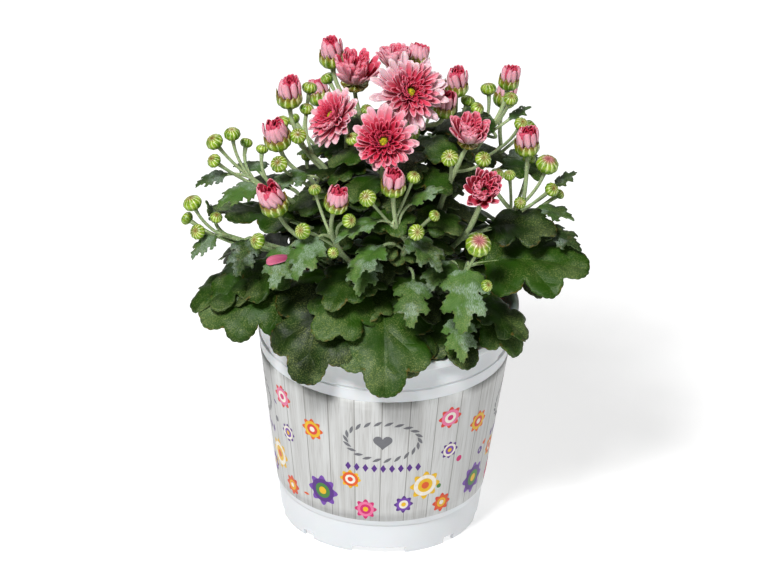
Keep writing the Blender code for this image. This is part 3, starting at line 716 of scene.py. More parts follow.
FRONT = Shoot(
    "front_stem",
    [(-4, -18, 84), (-4, -18, 112), (-6, -24, 140), (-4, -27, 180), (-3, -28, 214)],
    [
        [(-5, -23, 136), (6, -38, 158), (9, -45, 172), (2, -50, 184)],
        [(-6, -23, 138), (-20, -40, 160), (-28, -50, 179)],
    ],
    [
        Head(0, (-3, -32, 218), 34, (-0.05, -0.8, 0.6), BLOOM, "front_bloom"),
        Head(1, (2, -52, 202), 12, (0.0, -0.25, 0.97), OPENING, "opening_bud_front"),
        Head(1, (-9, -58, 201), 8.6, (-0.3, -0.6, 0.7)),
        Head(1, (11, -46, 206), 6.7, (0.2, -0.3, 0.9)),
        Head(1, (13, -61, 186), 8.0, (0.2, -0.8, 0.5)),
        Head(1, (21, -47, 187), 5.8, (0.5, -0.5, 0.7)),
        Head(2, (-26, -57, 195), 11.5, (0.2, -0.3, 0.93), OPENING, "opening_bud_front_left"),
        Head(2, (-20, -59, 190), 7.2, (0.5, -0.7, 0.5)),
        Head(2, (-39, -56, 182), 8.0, (-0.5, -0.7, 0.5)),
        Head(2, (-35, -45, 197), 6.2, (-0.2, -0.2, 0.95)),
        Head(2, (-26, -61, 174), 5.5, (0.1, -0.9, 0.4)),
        Head(0, (-17, -22, 213), 7.0, (-0.4, -0.3, 0.85)),
    ],
    [
        Leaf(OLD, (-2, -33, 138), -86, -10, 56, 58),
        Leaf(OLD, (-26, -31, 142), -108, -14, 64, 56),
        Leaf(OLD, (20, -26, 128), -58, -2, 44, 44),
        Leaf(OLD, (-9, -27, 186), 176, 8, 30, 28, 12),
        Leaf(OLD, (-12, -34, 152), -118, 5, 46, 34),
        Leaf(YOUNG, (13, -51, 155), -92, -15, 55, 26),
        Leaf(YOUNG, (-2, -51, 173), -132, 0, 55, 26, 10),
        Leaf(YOUNG, (9, -49, 177), -42, 0, 52, 26),
        Leaf(YOUNG, (-4, -50, 186), -160, 2, 46, 25, 10),
        Leaf(YOUNG, (10, -46, 193), 4, 42, 30, 19),
        Leaf(YOUNG, (-33, -52, 177), -122, -8, 58, 26),
        Leaf(YOUNG, (-8, -42, 162), -105, 0, 60, 24),
    ],
)

RIGHT = Shoot(
    "right_stem",
    [(20, -6, 84), (20, -6, 112), (22, -12, 140), (24, -22, 176), (35, -19, 207)],
    [
        [(22, -13, 142), (38, -30, 170), (44, -36, 188)],
        [(21, -9, 130), (48, -13, 152), (65, -9, 177)],
        [(20, -8, 122), (33, -40, 146), (39, -55, 164)],
    ],
    [
        Head(0, (37, -21, 213), 21, (0.12, -0.35, 0.93), CUP, "right_bloom"),
        Head(1, (45, -39, 195), 21, (0.05, -0.68, 0.73), CUP, "lower_right_bloom"),
        Head(0, (29, -34, 211), 8.6, (-0.1, -0.6, 0.75)),
        Head(0, (44, -34, 211), 8.0, (0.2, -0.6, 0.75)),
        Head(1, (51, -27, 198), 7.0, (0.3, 0.1, 0.95)),
        Head(2, (66, -6, 201), 12, (-0.05, -0.15, 0.98), OPENING, "opening_bud_right"),
        Head(2, (67, 3, 191), 6.4, (0.1, 0.3, 0.9)),
        Head(2, (75, -8, 193), 11.0, (0.2, -0.2, 0.95)),
        Head(2, (77, -14, 185), 7.0, (0.5, -0.5, 0.7)),
        Head(2, (81, -9, 180), 5.0, (0.7, -0.1, 0.6)),
        Head(2, (63, -22, 182), 6.0, (0.1, -0.7, 0.7)),
        Head(2, (58, -13, 191), 6.0, (-0.1, -0.3, 0.95)),
        Head(3, (43, -60, 177), 12.5, (0.1, -0.5, 0.85)),
        Head(3, (47, -60, 157), 6.0, (0.5, -0.6, 0.6)),
    ],
    [
        Leaf(OLD, (43, -30, 153), -6, 22, 42, 56, 18),
        Leaf(OLD, (48, -26, 170), -7, 30, 58, 35, 12),
        Leaf(OLD, (43, -38, 137), -24, -8, 42, 32),
        Leaf(OLD, (53, 2, 188), 15, 12, 50, 26),
        Leaf(OLD, (44, -8, 138), 8, 2, 46, 42),
        Leaf(YOUNG, (70, -13, 174), -20, 18, 42, 21),
        Leaf(YOUNG, (73, -21, 169), -28, 2, 36, 24),
        Leaf(YOUNG, (39, -53, 165), -96, -40, 30, 34),
        Leaf(YOUNG, (34, -51, 136), -76, -28, 40, 24),
        Leaf(YOUNG, (80, -7, 184), 25, 40, 30, 13),
        Leaf(YOUNG, (31, -38, 158), -120, 10, 60, 24),
    ],
)

BACK = Shoot(
    "back_stem",
    [(8, 20, 84), (8, 20, 112), (12, 24, 140), (22, 24, 180), (31, 18, 211)],
    [
        [(13, 24, 144), (38, 26, 180), (50, 25, 201)],
        [(11, 24, 136), (14, 44, 164), (12, 52, 184)],
        [(10, 23, 130), (-14, 40, 158), (-28, 46, 178)],
        [(12, 24, 138), (40, 40, 162), (54, 44, 178)],
    ],
    [
        Head(0, (31, 15, 221), 11.5, (0.0, -0.1, 0.99), OPENING, "opening_bud_top_right"),
        Head(0, (36, 17, 214), 7.0, (0.3, 0.3, 0.9)),
        Head(0, (40, 9, 215), 7.0, (0.5, -0.2, 0.85)),
        Head(1, (56, 30, 217), 10, (0.1, 0.0, 0.99), OPENING, "opening_bud_far_right"),
        Head(1, (57, 20, 215), 7.2, (0.2, -0.4, 0.9)),
        Head(1, (47, 31, 213), 7.8, (-0.1, 0.2, 0.97)),
        Head(1, (62, 6, 209), 7.0, (0.3, -0.4, 0.85)),
        Head(2, (6, 52, 204), 22, (0.0, 0.55, 0.83), CUP, "back_bloom"),
        Head(2, (22, 58, 196), 7.6, (0.4, 0.6, 0.7)),
        Head(3, (-34, 50, 194), 11, (-0.2, 0.4, 0.9), OPENING, "opening_bud_back_left"),
        Head(3, (-22, 58, 187), 7.0, (0.1, 0.7, 0.7)),
        Head(3, (-46, 50, 184), 6.6, (-0.6, 0.5, 0.6)),
        Head(4, (54, 50, 196), 11, (0.2, 0.3, 0.93), OPENING, "opening_bud_back_right"),
        Head(4, (66, 46, 186), 7.2, (0.7, 0.3, 0.6)),
    ],
    [
        Leaf(OLD, (10, 33, 138), 84, -6, 50, 52),
        Leaf(OLD, (34, 27, 139), 36, -6, 50, 50),
        Leaf(OLD, (-14, 33, 139), 124, -6, 50, 48),
        Leaf(OLD, (32, 38, 156), 66, 12, 55, 36),
        Leaf(OLD, (-8, 44, 163), 112, 10, 55, 34),
        Leaf(OLD, (34, 31, 176), 34, 14, 55, 32),
        Leaf(OLD, (4, 42, 178), 128, 14, 50, 28),
        Leaf(YOUNG, (50, 18, 199), 150, 40, 30, 20),
        Leaf(YOUNG, (18, 50, 174), 60, 5, 55, 26),
        Leaf(YOUNG, (-26, 44, 172), 150, 5, 50, 24),
        Leaf(YOUNG, (56, 40, 174), 10, 5, 50, 24),
        Leaf(YOUNG, (57, 23, 204), 20, 35, 20, 12),
    ],
)

LEFT = Shoot(
    "left_stem",
    [(-18, 2, 84), (-18, 2, 112), (-20, 0, 140), (-21, -4, 176), (-21, -8, 212)],
    [
        [(-20, -2, 158), (-29, -8, 188), (-43, -10, 204)],
        [(-20, -1, 152), (-30, -12, 176), (-38, -17, 190)],
        [(-20, 0, 140), (-44, -4, 168), (-65, -5, 180)],
        [(-19, 1, 124), (-46, -15, 146), (-71, -22, 158), (-83, -22, 162)],
        [(-19, 1, 130), (-30, -28, 152), (-41, -38, 168)],
    ],
    [
        Head(0, (-23, -10, 217), 29, (-0.68, -0.36, 0.64), BLOOM, "left_bloom"),
        Head(1, (-49, 0, 220), 12.5, (-0.05, -0.1, 0.99), OPENING, "opening_bud_left"),
        Head(1, (-51, -8, 213), 7.6, (-0.5, -0.2, 0.8)),
        Head(1, (-44, -18, 212), 8.0, (-0.1, -0.6, 0.8)),
        Head(1, (-41, 0, 216), 7.0, (0.1, 0.1, 0.98)),
        Head(1, (-40, 10, 222), 7.4, (0.1, 0.2, 0.97)),
        Head(2, (-53, -20, 208), 13, (-0.2, -0.2, 0.95), OPENING, "opening_bud_left_low"),
        Head(2, (-52, -32, 204), 8.4, (-0.3, -0.6, 0.75)),
        Head(2, (-40, -3, 192), 5.5, (0.0, 0.4, 0.9)),
        Head(3, (-83, -2, 198), 8.6, (-0.5, -0.2, 0.8)),
        Head(3, (-76, 0, 201), 8.0, (-0.1, -0.1, 0.99)),
        Head(3, (-70, 7, 193), 6.2, (0.2, 0.4, 0.9)),
        Head(3, (-83, -10, 193), 7.0, (-0.6, -0.4, 0.7)),
        Head(3, (-62, 3, 192), 6.0, (0.1, 0.3, 0.95)),
        Head(4, (-93, -20, 173), 9.2, (-0.4, 0.0, 0.9)),
        Head(4, (-95, -16, 164), 6.6, (-0.8, 0.4, 0.4)),
        Head(4, (-90, -27, 164), 7.6, (-0.5, -0.7, 0.5)),
        Head(4, (-83, -24, 169), 6.2, (0.1, -0.3, 0.95)),
        Head(5, (-53, -41, 184), 14, (-0.28, -0.25, 0.92), OPENING, "opening_bud_left_front"),
        Head(5, (-60, -46, 170), 8.0, (-0.7, -0.5, 0.5)),
    ],
    [
        Leaf(OLD, (-58, -19, 141), -161, -10, 34, 42),
        Leaf(OLD, (-42, -14, 163), 176, 22, 38, 46, 10),
        Leaf(OLD, (-46, 4, 140), 156, 0, 46, 42),
        Leaf(OLD, (-30, 22, 144), 134, 6, 52, 44),
        Leaf(OLD, (-47, 7, 171), 150, 10, 44, 28),
        Leaf(OLD, (-46, -22, 146), -152, -4, 50, 36),
        Leaf(YOUNG, (-38, -24, 195), -166, 10, 50, 22),
        Leaf(YOUNG, (-78, -6, 185), -166, -2, 34, 17),
        Leaf(YOUNG, (-62, -15, 183), -160, 6, 54, 24),
        Leaf(YOUNG, (-46, -45, 168), -116, -12, 54, 25),
        Leaf(YOUNG, (-66, -27, 161), -110, -8, 52, 22),
        Leaf(YOUNG, (-82, -27, 162), -150, -8, 50, 17),
        Leaf(YOUNG, (-83, -17, 164), 165, 68, 10, 12),
        Leaf(YOUNG, (-62, 5, 180), 120, 10, 50, 22),
    ],
)

CENTRE = Shoot(
    "centre_stem",
    [(2, 4, 84), (2, 4, 112), (2, 5, 150), (4, 6, 196), (6, 0, 224)],
    [
        [(3, 6, 180), (-8, 9, 198), (-15, 11, 210)],
        [(3, 6, 176), (2, 16, 204), (3, 22, 220)],
    ],
    [
        Head(0, (7, -4, 230), 37, (0.22, -0.76, 0.61), BLOOM, "crown_bloom"),
        Head(0, (9, -9, 211), 9.0, (0.2, -0.6, 0.75)),
        Head(0, (25, 2, 216), 11, (0.1, -0.1, 0.99), OPENING, "opening_bud_behind_crown"),
        Head(1, (-18, 14, 224), 26, (0.0, -0.22, 0.97), CUP, "top_left_bloom"),
        Head(1, (-29, 23, 230), 12, (-0.1, 0.0, 0.99), OPENING, "opening_bud_top_left"),
        Head(1, (-30, 25, 220), 7.0, (-0.5, 0.3, 0.8)),
        Head(1, (-12, 3, 216), 6.0, (0.1, -0.4, 0.9)),
        Head(2, (2, 24, 227), 17, (-0.1, 0.0, 0.99), CUP, "top_back_bloom"),
        Head(2, (11, 36, 222), 11, (0.2, 0.3, 0.93), OPENING, "opening_bud_top_back"),
    ],
    [
        Leaf(YOUNG, (-8, 2, 203), -100, 20, 50, 16),
        Leaf(YOUNG, (-8, 14, 202), 120, 20, 50, 20),
        Leaf(YOUNG, (8, 20, 208), 40, 15, 50, 20),
        Leaf(YOUNG, (6, -8, 196), -70, 20, 50, 20),
        Leaf(YOUNG, (13, 7, 196), -20, 10, 50, 20),
    ],
)

SHOOTS = [FRONT, RIGHT, BACK, LEFT, CENTRE]


class Growth:
    """A Geometry Nodes tree, built once, that grows a mesh from what it is given."""

    sockets: tuple = ()

    def __init__(self) -> None:
        """Build the tree with its named inputs."""
        self.tree = bpy.data.node_groups.new(type(self).__name__, "GeometryNodeTree")
        self.node = partial(add_node, self.tree)
        ends = (("Geometry", "Geometry", None), ("Material", "Material", None))
        for name, kind, value in (ends[0], *self.sockets, ends[1]):
            socket = self.tree.interface.new_socket(name, in_out="INPUT", socket_type="NodeSocket" + kind)
            if value is not None:
                socket.default_value = value
        self.tree.interface.new_socket("Geometry", in_out="OUTPUT", socket_type="NodeSocketGeometry")
        given = self.node("NodeGroupInput")
        realized = self.node("GeometryNodeRealizeInstances", {0: self.grow(given)})
        smooth = self.node("GeometryNodeSetShadeSmooth", {0: realized})
        coated = self.node("GeometryNodeSetMaterial", {0: smooth, "Material": given["Material"]})
        self.node("NodeGroupOutput", {0: coated})

    def grow(self, given: Wire) -> Wire:
        """Add the nodes that do the growing.

        Args:
            given: The tree's inputs.

        Returns:
            What has grown.
        """
        raise NotImplementedError

    def planted(self, shape: Wire, points: Wire, **turns: Any) -> Wire:
        """Set a copy of a shape on each point."""
        copied = self.node("GeometryNodeObjectInfo", {"Object": shape})["Geometry"]
        return self.node("GeometryNodeInstanceOnPoints", {"Points": points, "Instance": copied, **turns})

    def tumbled(self, low: float, high: float) -> Wire:
        """Three random angles for each point, in radians.

        Args:
            low: The least angle.
            high: The greatest angle.

        Returns:
            The angles as a vector.
        """
        turns = {}
        for seed, axis in enumerate("XYZ"):
            turns[axis] = self.node("FunctionNodeRandomValue", {2: low, 3: high, "Seed": seed})
        return self.node("ShaderNodeCombineXYZ", turns)

    def apply(self, name: str, data: Any, **values: Any) -> bpy.types.Mesh:
        """Grow a mesh.

        Args:
            name: Name of the mesh.
            data: The mesh or curve to grow from.
            values: A value for each named input, with a capital first letter, or the mesh of a shape.

        Returns:
            The plain mesh.
        """
        thing = add_object(name, data)
        growing = thing.modifiers.new("growth", "NODES")
        growing.node_group = self.tree
        meshes = {key: value for key, value in values.items() if isinstance(value, bpy.types.Mesh)}
        shapes = {key: add_object(key, mesh) for key, mesh in meshes.items()}
        for item in self.tree.interface.items_tree:
            if item.in_out == "INPUT" and item.name in values:
                growing[item.identifier] = shapes.get(item.name, values[item.name])
        mesh = settled(thing)
        for shape in shapes.values():
            bpy.data.objects.remove(shape)
        return mesh


class StemTubes(Growth):
    """Round, lengthwise ridged stems along the splines of a curve."""

    sockets = (("Sides", "Int", 12), ("Ridge", "Float", 0.07))

    def grow(self, given: Wire) -> Wire:
        """Sweep a ring with raised and sunk corners along the curve."""
        ring = self.node("GeometryNodeCurvePrimitiveCircle", {"Resolution": given["Sides"], "Radius": MM})
        sunk = self.node("GeometryNodeInputIndex") % 2.0 * given["Ridge"]
        place = self.node("GeometryNodeInputPosition")
        pulled = self.node("ShaderNodeVectorMath", {0: place, "Scale": 1.0 - sunk}, operation="SCALE")
        ridged = self.node("GeometryNodeSetPosition", {"Geometry": ring, "Position": pulled})
        width = self.node("GeometryNodeInputRadius")
        inputs = {"Curve": given["Geometry"], "Profile Curve": ridged, "Scale": width, "Fill Caps": True}
        return self.node("GeometryNodeCurveToMesh", inputs)


class PetalRing(Growth):
    """Petals round a ring, each tilted, turned and stretched a little differently, the lower ones shorter."""

    sockets = (
        ("Petal", "Object", None),
        ("Count", "Int", 12),
        ("Radius", "Float", 0.004),
        ("Turn", "Float", 0.0),
        ("Jitter", "Float", 0.1),
        ("Tone", "Float", 0.0),
        ("Droop", "Float", 0.0),
    )

    def grow(self, given: Wire) -> Wire:
        """Set one petal on each point of a ring."""
        ring = self.node("GeometryNodeMeshCircle", {"Vertices": given["Count"], "Radius": given["Radius"]})
        angle = self.node("GeometryNodeInputIndex") / given["Count"] * (2 * math.pi)
        twist, tilt, swing, stretch = (
            self.node("FunctionNodeRandomValue", {2: -reach, 3: reach, "Seed": seed}) * given["Jitter"]
            for seed, reach in enumerate((1.6, 1.0, 0.6, 0.8))
        )
        longer = ((angle + given["Turn"]).sine() - 1.0) * given["Droop"] + 1.0 + stretch
        turning = self.node("ShaderNodeCombineXYZ", {"X": twist, "Y": tilt, "Z": angle + swing})
        scale = self.node("ShaderNodeCombineXYZ", {"X": longer, "Y": 1.0, "Z": 1.0})
        petals = self.planted(given["Petal"], ring, Rotation=turning, Scale=scale)
        whole = self.node("ShaderNodeCombineXYZ", {"Z": given["Turn"]})
        turned = self.node("GeometryNodeTransform", {"Geometry": petals, "Rotation": whole})
        solid = self.node("GeometryNodeRealizeInstances", {0: turned})
        tone = {"Geometry": solid, "Name": "tone", "Value": given["Tone"]}
        return self.node("GeometryNodeStoreNamedAttribute", tone)


class HeadSetter(Growth):
    """One bud or cup on each point, along the point's own direction and to its own size."""

    sockets = (("Head", "Object", None),)

    def grow(self, given: Wire) -> Wire:
        """Set the head on every point."""
        facing, size = (
            self.node("GeometryNodeInputNamedAttribute", {"Name": name}, data_type="FLOAT_VECTOR")
            for name in ("facing", "size")
        )
        aligned = self.node("FunctionNodeAlignRotationToVector", {"Vector": facing}, axis="Z")
        draw = self.node("FunctionNodeRandomValue", {2: 0.0, 3: 2 * math.pi, "Seed": 3})
        spin = self.node("ShaderNodeCombineXYZ", {"Z": draw})
        inputs = {"Rotation": aligned, "Rotate By": spin}
        turned = self.node("FunctionNodeRotateRotation", inputs, rotation_space="LOCAL")
        return self.planted(given["Head"], given["Geometry"], Rotation=turned, Scale=size)


class Crumbs(Growth):
    """Small pieces strewn over a surface, such as clods of peat, each turned and sized at random."""

    sockets = (
        ("Crumb", "Object", None),
        ("Density", "Float", 100000.0),
        ("Smallest", "Float", 0.4),
        ("Largest", "Float", 1.5),
        ("Seed", "Int", 0),
    )

    def grow(self, given: Wire) -> Wire:
        """Strew the pieces."""
        inputs = {"Mesh": given["Geometry"], "Density": given["Density"], "Seed": given["Seed"]}
        strewn = self.node("GeometryNodeDistributePointsOnFaces", inputs)
        turning = self.tumbled(0.0, 2 * math.pi)
        size = self.node("FunctionNodeRandomValue", {2: given["Smallest"], 3: given["Largest"], "Seed": 5})
        pieces = self.planted(given["Crumb"], strewn, Rotation=turning, Scale=size)
        draw = self.node("FunctionNodeRandomValue", {2: 0.0, 3: 1.0, "Seed": 9})
        tone = {"Geometry": pieces, "Name": "tone", "Value": draw}
        return self.node("GeometryNodeStoreNamedAttribute", tone, domain="INSTANCE")


class Hairs(Growth):
    """Fine hairs that stand out of a surface, leaning a little at random."""

    sockets = (("Hair", "Object", None), ("Density", "Float", 1000000.0), ("Seed", "Int", 0))

    def grow(self, given: Wire) -> Wire:
        """Set the hairs along the surface's normal."""
        inputs = {"Mesh": given["Geometry"], "Density": given["Density"], "Seed": given["Seed"]}
        spread = self.node("GeometryNodeDistributePointsOnFaces", inputs)
        inputs = {"Rotation": spread["Rotation"], "Rotate By": self.tumbled(-0.5, 0.5)}
        turned = self.node("FunctionNodeRotateRotation", inputs, rotation_space="LOCAL")
        size = self.node("FunctionNodeRandomValue", {2: 0.5, 3: 1.2, "Seed": 4})
        return self.planted(given["Hair"], spread, Rotation=turned, Scale=size)


class FloretSpiral(Growth):
    """Florets packed in the spiral of a daisy's disc, over a low dome."""

    sockets = (
        ("Floret", "Object", None),
        ("Count", "Int", 60),
        ("Radius", "Float", 0.002),
        ("Dome", "Float", 0.001),
    )

    def grow(self, given: Wire) -> Wire:
        """Set floret by floret a golden angle further round."""
        line = self.node("GeometryNodeMeshLine", {"Count": given["Count"]})
        number = self.node("GeometryNodeInputIndex")
        share = number / given["Count"]
        reach = share.root() * given["Radius"]
        angle = number * math.radians(GOLDEN_ANGLE)
        sides = {"X": angle.cosine() * reach, "Y": angle.sine() * reach, "Z": (1.0 - share) * given["Dome"]}
        place = self.node("ShaderNodeCombineXYZ", sides)
        spread = self.node("GeometryNodeSetPosition", {"Geometry": line, "Position": place})
        size = self.node("FunctionNodeRandomValue", {2: 0.8, 3: 1.2, "Seed": 1})
        return self.planted(given["Floret"], spread, Scale=size)


class Coat(NamedTuple):
    """What a finish lays on: a hex colour or a wire, and a relief with its depth in millimetres."""

    colour: Any
    height: Any = None
    depth: float = 0.0


class Finish:
    """A real surface, built once as a material."""

    roughness = 0.5
    settings: dict = {}

    def __init__(self) -> None:
        """Build the material."""
        self.material = bpy.data.materials.new(type(self).__name__)
        self.material.use_nodes = True
        self.node = partial(add_node, self.material.node_tree)
        shader = self.material.node_tree.nodes["Principled BSDF"]
        coat = self.coat()
        connect(shader, {"Roughness": self.roughness, **self.settings, "Base Color": coat.colour})
        if coat.height is not None:
            inputs = {"Height": coat.height, "Distance": coat.depth * MM, "Strength": 1.0}
            connect(shader, {"Normal": self.node("ShaderNodeBump", inputs)})

    def coat(self) -> Coat:
        """Build the nodes of the colour and the relief.

        Returns:
            The coat.
        """
        raise NotImplementedError

    def height(self) -> Wire:
        """Height over the ground, in metres."""
        place = self.node("ShaderNodeTexCoord")["Object"]
        return self.node("ShaderNodeSeparateXYZ", {0: place})["Z"]

    def shape(self) -> tuple:
        """The surface's own two coordinates."""
        flat = self.node("ShaderNodeSeparateXYZ", {0: self.node("ShaderNodeUVMap", uv_map="shape")})
        return flat["X"], flat["Y"]

    def stored(self, *names: str) -> list:
        """Numbers that the mesh stores under these names."""
        return [self.node("ShaderNodeAttribute", attribute_name=name)["Fac"] for name in names]

    def mottle(self, size: float, detail: float = 2.0) -> Wire:
        """Cloudy noise in space, by the size of a cloud in millimetres and how many finer octaves it has."""
        place = self.node("ShaderNodeTexCoord")["Object"]
        inputs = {"Vector": place, "Scale": 1.0 / (size * MM), "Detail": detail}
        return self.node("ShaderNodeTexNoise", inputs)

    def streaks(self, first: Wire, second: Wire, detail: float = 2.0) -> Wire:
        """Cloudy noise over two coordinates of the surface, each stretched beforehand."""
        place = self.node("ShaderNodeCombineXYZ", {"X": first, "Y": second})
        return self.node("ShaderNodeTexNoise", {"Vector": place, "Scale": 1.0, "Detail": detail})

    def layered(self, base: Any, *layers: tuple) -> Wire:
        """Lay colours over each other.

        Args:
            base: The lowest colour, as a hex code or a wire.
            layers: For each layer, how much of it shows, from 0 to 1, and its colour.

        Returns:
            The colour on top.
        """
        for share, colour in layers:
            base = self.node("ShaderNodeMix", {0: share, 6: base, 7: colour}, data_type="RGBA")
        return base


class Polypropylene(Finish):
    """Injection-moulded white polypropylene: cool white, softly glossy, with peat dust near the soil and
    painted cool light on the inner wall.
    """

    roughness = 0.36
    settings = {
        "Subsurface Weight": 0.08,
        "Subsurface Scale": 0.002,
        "Coat Weight": 0.15,
        "Coat Roughness": 0.3,
    }

    def coat(self) -> Coat:
        """Faint cloudiness, a fine moulded grain, peat dust inside the rim, and painted light: a paler
        blue-white on the inner wall.
        """
        (inner,) = self.stored("inner")
        low = (self.height() * -1.0).eased(-0.1135, -0.107)
        dirt = self.mottle(1.2, 3.0).eased(0.56, 0.66) * (inner * low)
        # The inner wall's paler blue-white is painted light: the cool light seen inside the rim, on the same
        # plastic.
        layers = (self.mottle(30.0), "E1E3E5"), (inner, "DCE8F0"), (dirt, "3B2418")
        return Coat(self.layered("D6DADD", *layers), self.mottle(0.9), 0.012)


class WashedPlanks(Finish):
    """Matt printed film with white-washed planks: pale grey wood with upright grain and thin seams."""

    roughness = 0.48
    plank_width = 13.0

    def coat(self) -> Coat:
        """Own tone for each plank, long grain streaks and a seam between planks."""
        across, up = self.shape()
        plank = across / self.plank_width
        number = plank.floor()
        tone = self.node("ShaderNodeTexWhiteNoise", {"W": number}, noise_dimensions="1D")
        shifted = up + number * 37.0
        broad = self.streaks(across * 0.4, shifted * 0.014, 3.0)
        fine = self.streaks(across * 2.4, shifted * 0.05, 5.0)
        seam = abs(plank - number - 0.5).eased(0.474, 0.492)
        return Coat(self.layered(
            "BDBDBB",
            (broad.eased(0.3, 0.7), "CDCECD"),
            (fine.eased(0.52, 0.64) * 0.42, "96938F"),
            (tone * 0.25, "DCDDDD"),
            (seam * 0.75, "7A7773"),
        ))


class Ink(Finish):
    """Printed inks: flat saturated colours, a little glossier than the film they are printed on."""

    roughness = 0.4
    inks = (
        "5B2A8C", "E8641E", "D81E78", "F0C20A", "E2442E",
        "7E4AB4", "77797E", "4A8C3A", "EE7FA8", "F6F0E4",
    )

    def coat(self) -> Coat:
        """One clear colour for each tenth of the stored number, with light press mottling."""
        stops = [(number / 10, code) for number, code in enumerate(self.inks)]
        flat = self.node("ShaderNodeValToRGB", {0: self.stored("ink")[0]}, stops)
        flat.node.color_ramp.interpolation = "CONSTANT"
        return Coat(self.layered(flat, (self.mottle(1.6, 3.0) * 0.3, "4A3A3A")))


class PeatCrumb(Finish):
    """Crumbled peat: almost black, with red-brown fibres and clods, dull and damp."""

    roughness = 0.95
    settings = {"Specular IOR Level": 0.2}

    def coat(self) -> Coat:
        """Dark clods and a few red-brown ones, with a gritty surface."""
        browns = [(0.0, "140D0A"), (0.55, "21150F"), (0.8, "3B2114"), (1.0, "5A3521")]
        clod = self.node("ShaderNodeValToRGB", {0: self.stored("tone")[0]}, browns)
        grit = self.mottle(1.1, 4.0)
        return Coat(self.layered(clod, (grit.eased(0.5, 0.75), "2C1A12")), grit, 0.5)


class StemSkin(Finish):
    """Skin of stems and stalks: pale grey-green with fine pale felt and lengthwise streaks."""

    roughness = 0.62
    settings = {
        "Sheen Weight": 0.15,
        "Sheen Roughness": 0.4,
        "Subsurface Weight": 0.08,
        "Subsurface Scale": 0.001,
    }

    def coat(self) -> Coat:
        """Darker green low down, painted shade of the stems deep in the foliage, and greyer near the flowers.
        """
        fleck = self.mottle(0.7, 3.0)
        # The dark base green low down is painted shade; the height mask pales it towards the flowers.
        layers = (self.height().eased(0.12, 0.2), "A2B284"), (fleck.eased(0.45, 0.7) * 0.5, "CCD6B4")
        return Coat(self.layered("5E7A3E", *layers), fleck, 0.12)


@dataclass(frozen=True)
class LeafLook:
    """Greens of a leaf, its veins and underside, and how much felt, vein and spot it shows."""

    dark: str
    light: str
    vein: str
    under: str
    frost: float
    veined: float
    spotted: float


class LeafBlade(Finish):
    """Chrysanthemum leaf: leathery green with sunken veins, a felted, paler underside and spotted edges."""

    roughness = 0.44
    look = LeafLook("0F1F03", "2C5008", "465F22", "566C3A", 0.0, 0.08, 0.5)
    lobes: list = []

    def segment(self, along: Wire, across: Wire, start: tuple, end: tuple) -> Wire:
        """Distance of a place on the blade to one vein.

        Args:
            along: Place along the leaf, in leaf lengths.
            across: Distance from the midrib, in leaf lengths.
            start: Where the vein starts.
            end: Where it ends.

        Returns:
            The distance in leaf lengths.
        """
        run = (end[0] - start[0], end[1] - start[1])
        square = math.hypot(*run) ** 2
        first, second = along - start[0], across - start[1]
        held = self.node("ShaderNodeClamp", {0: first * (run[0] / square) + second * (run[1] / square)})
        off = self.node("ShaderNodeCombineXYZ", {"X": first - held * run[0], "Y": second - held * run[1]})
        return self.node("ShaderNodeVectorMath", {0: off}, operation="LENGTH")["Value"]

    def coat(self) -> Coat:
        """Greens in soft clouds, paler veins, felt as fine pale frosting, brown dots at the edge, and a
        painted sheen that pales the tips and patches of the blade.
        """
        look = self.look
        along, side = self.shape()
        tone, margin, back = self.stored("tone", "margin", "back")
        nearest = across = abs(side)
        for start, end in vein_segments(self.lobes):
            nearest = nearest.least(self.segment(along, across, start, end))
        vein = 1.0 - nearest.eased(0.002, 0.012)
        shade = tone * 0.55 + self.mottle(11.0, 3.0) * 0.6
        speck = self.mottle(0.6)
        # Patches where the pale specks show more: partly real felt, partly painted sheen.
        fuzz_and_sheen = self.mottle(12.0).eased(0.4, 0.65)
        # Paler towards the tip: painted sheen.
        tips = along.eased(0.35, 1.0) * 0.22
        dust_and_sheen = fuzz_and_sheen * 0.4 + (tips + 0.04)
        patch = self.mottle(9.0, 3.0).eased(0.45, 0.6)
        streak = self.streaks(along * 24.0, side * 100.0, 3.0).eased(0.32, 0.68)
        dots = (1.0 - margin.eased(0.2, 0.9)) * self.mottle(3.5, 1.0).eased(0.56, 0.66)
        green = self.layered(
            look.dark,
            (shade.eased(0.25, 0.85), look.light),
            # Painted sheen: pale olive towards the tips, in patches.
            (tips * fuzz_and_sheen, "94A47C"),
            # Pale specks of the leaf's hairs, stronger in the painted sheen patches and towards the tips.
            (speck.eased(0.44, 0.7) * dust_and_sheen, "929C5C"),
            (patch * look.frost * streak, "B4C2BC"),
            (vein * look.veined, look.vein),
            (dots * look.spotted, "7A5E28"),
            (back, look.under),
        )
        return Coat(green, vein * -0.25 + speck * 0.5, 0.35)


class OldLeaf(LeafBlade):
    """Full-grown lower leaf: dark, leathery, with a soft sheen."""

    lobes = OLD_LOBES
    settings = {"Specular IOR Level": 0.28}


class YoungLeaf(LeafBlade):
    """Young leaf under the buds: fresher green with blue-white felt."""

    roughness = 0.6
    lobes = YOUNG_LOBES
    look = LeafLook("263D15", "4D722B", "5E8240", "6C8756", 0.58, 0.3, 0.15)
    settings = {"Specular IOR Level": 0.36, "Sheen Weight": 0.05}


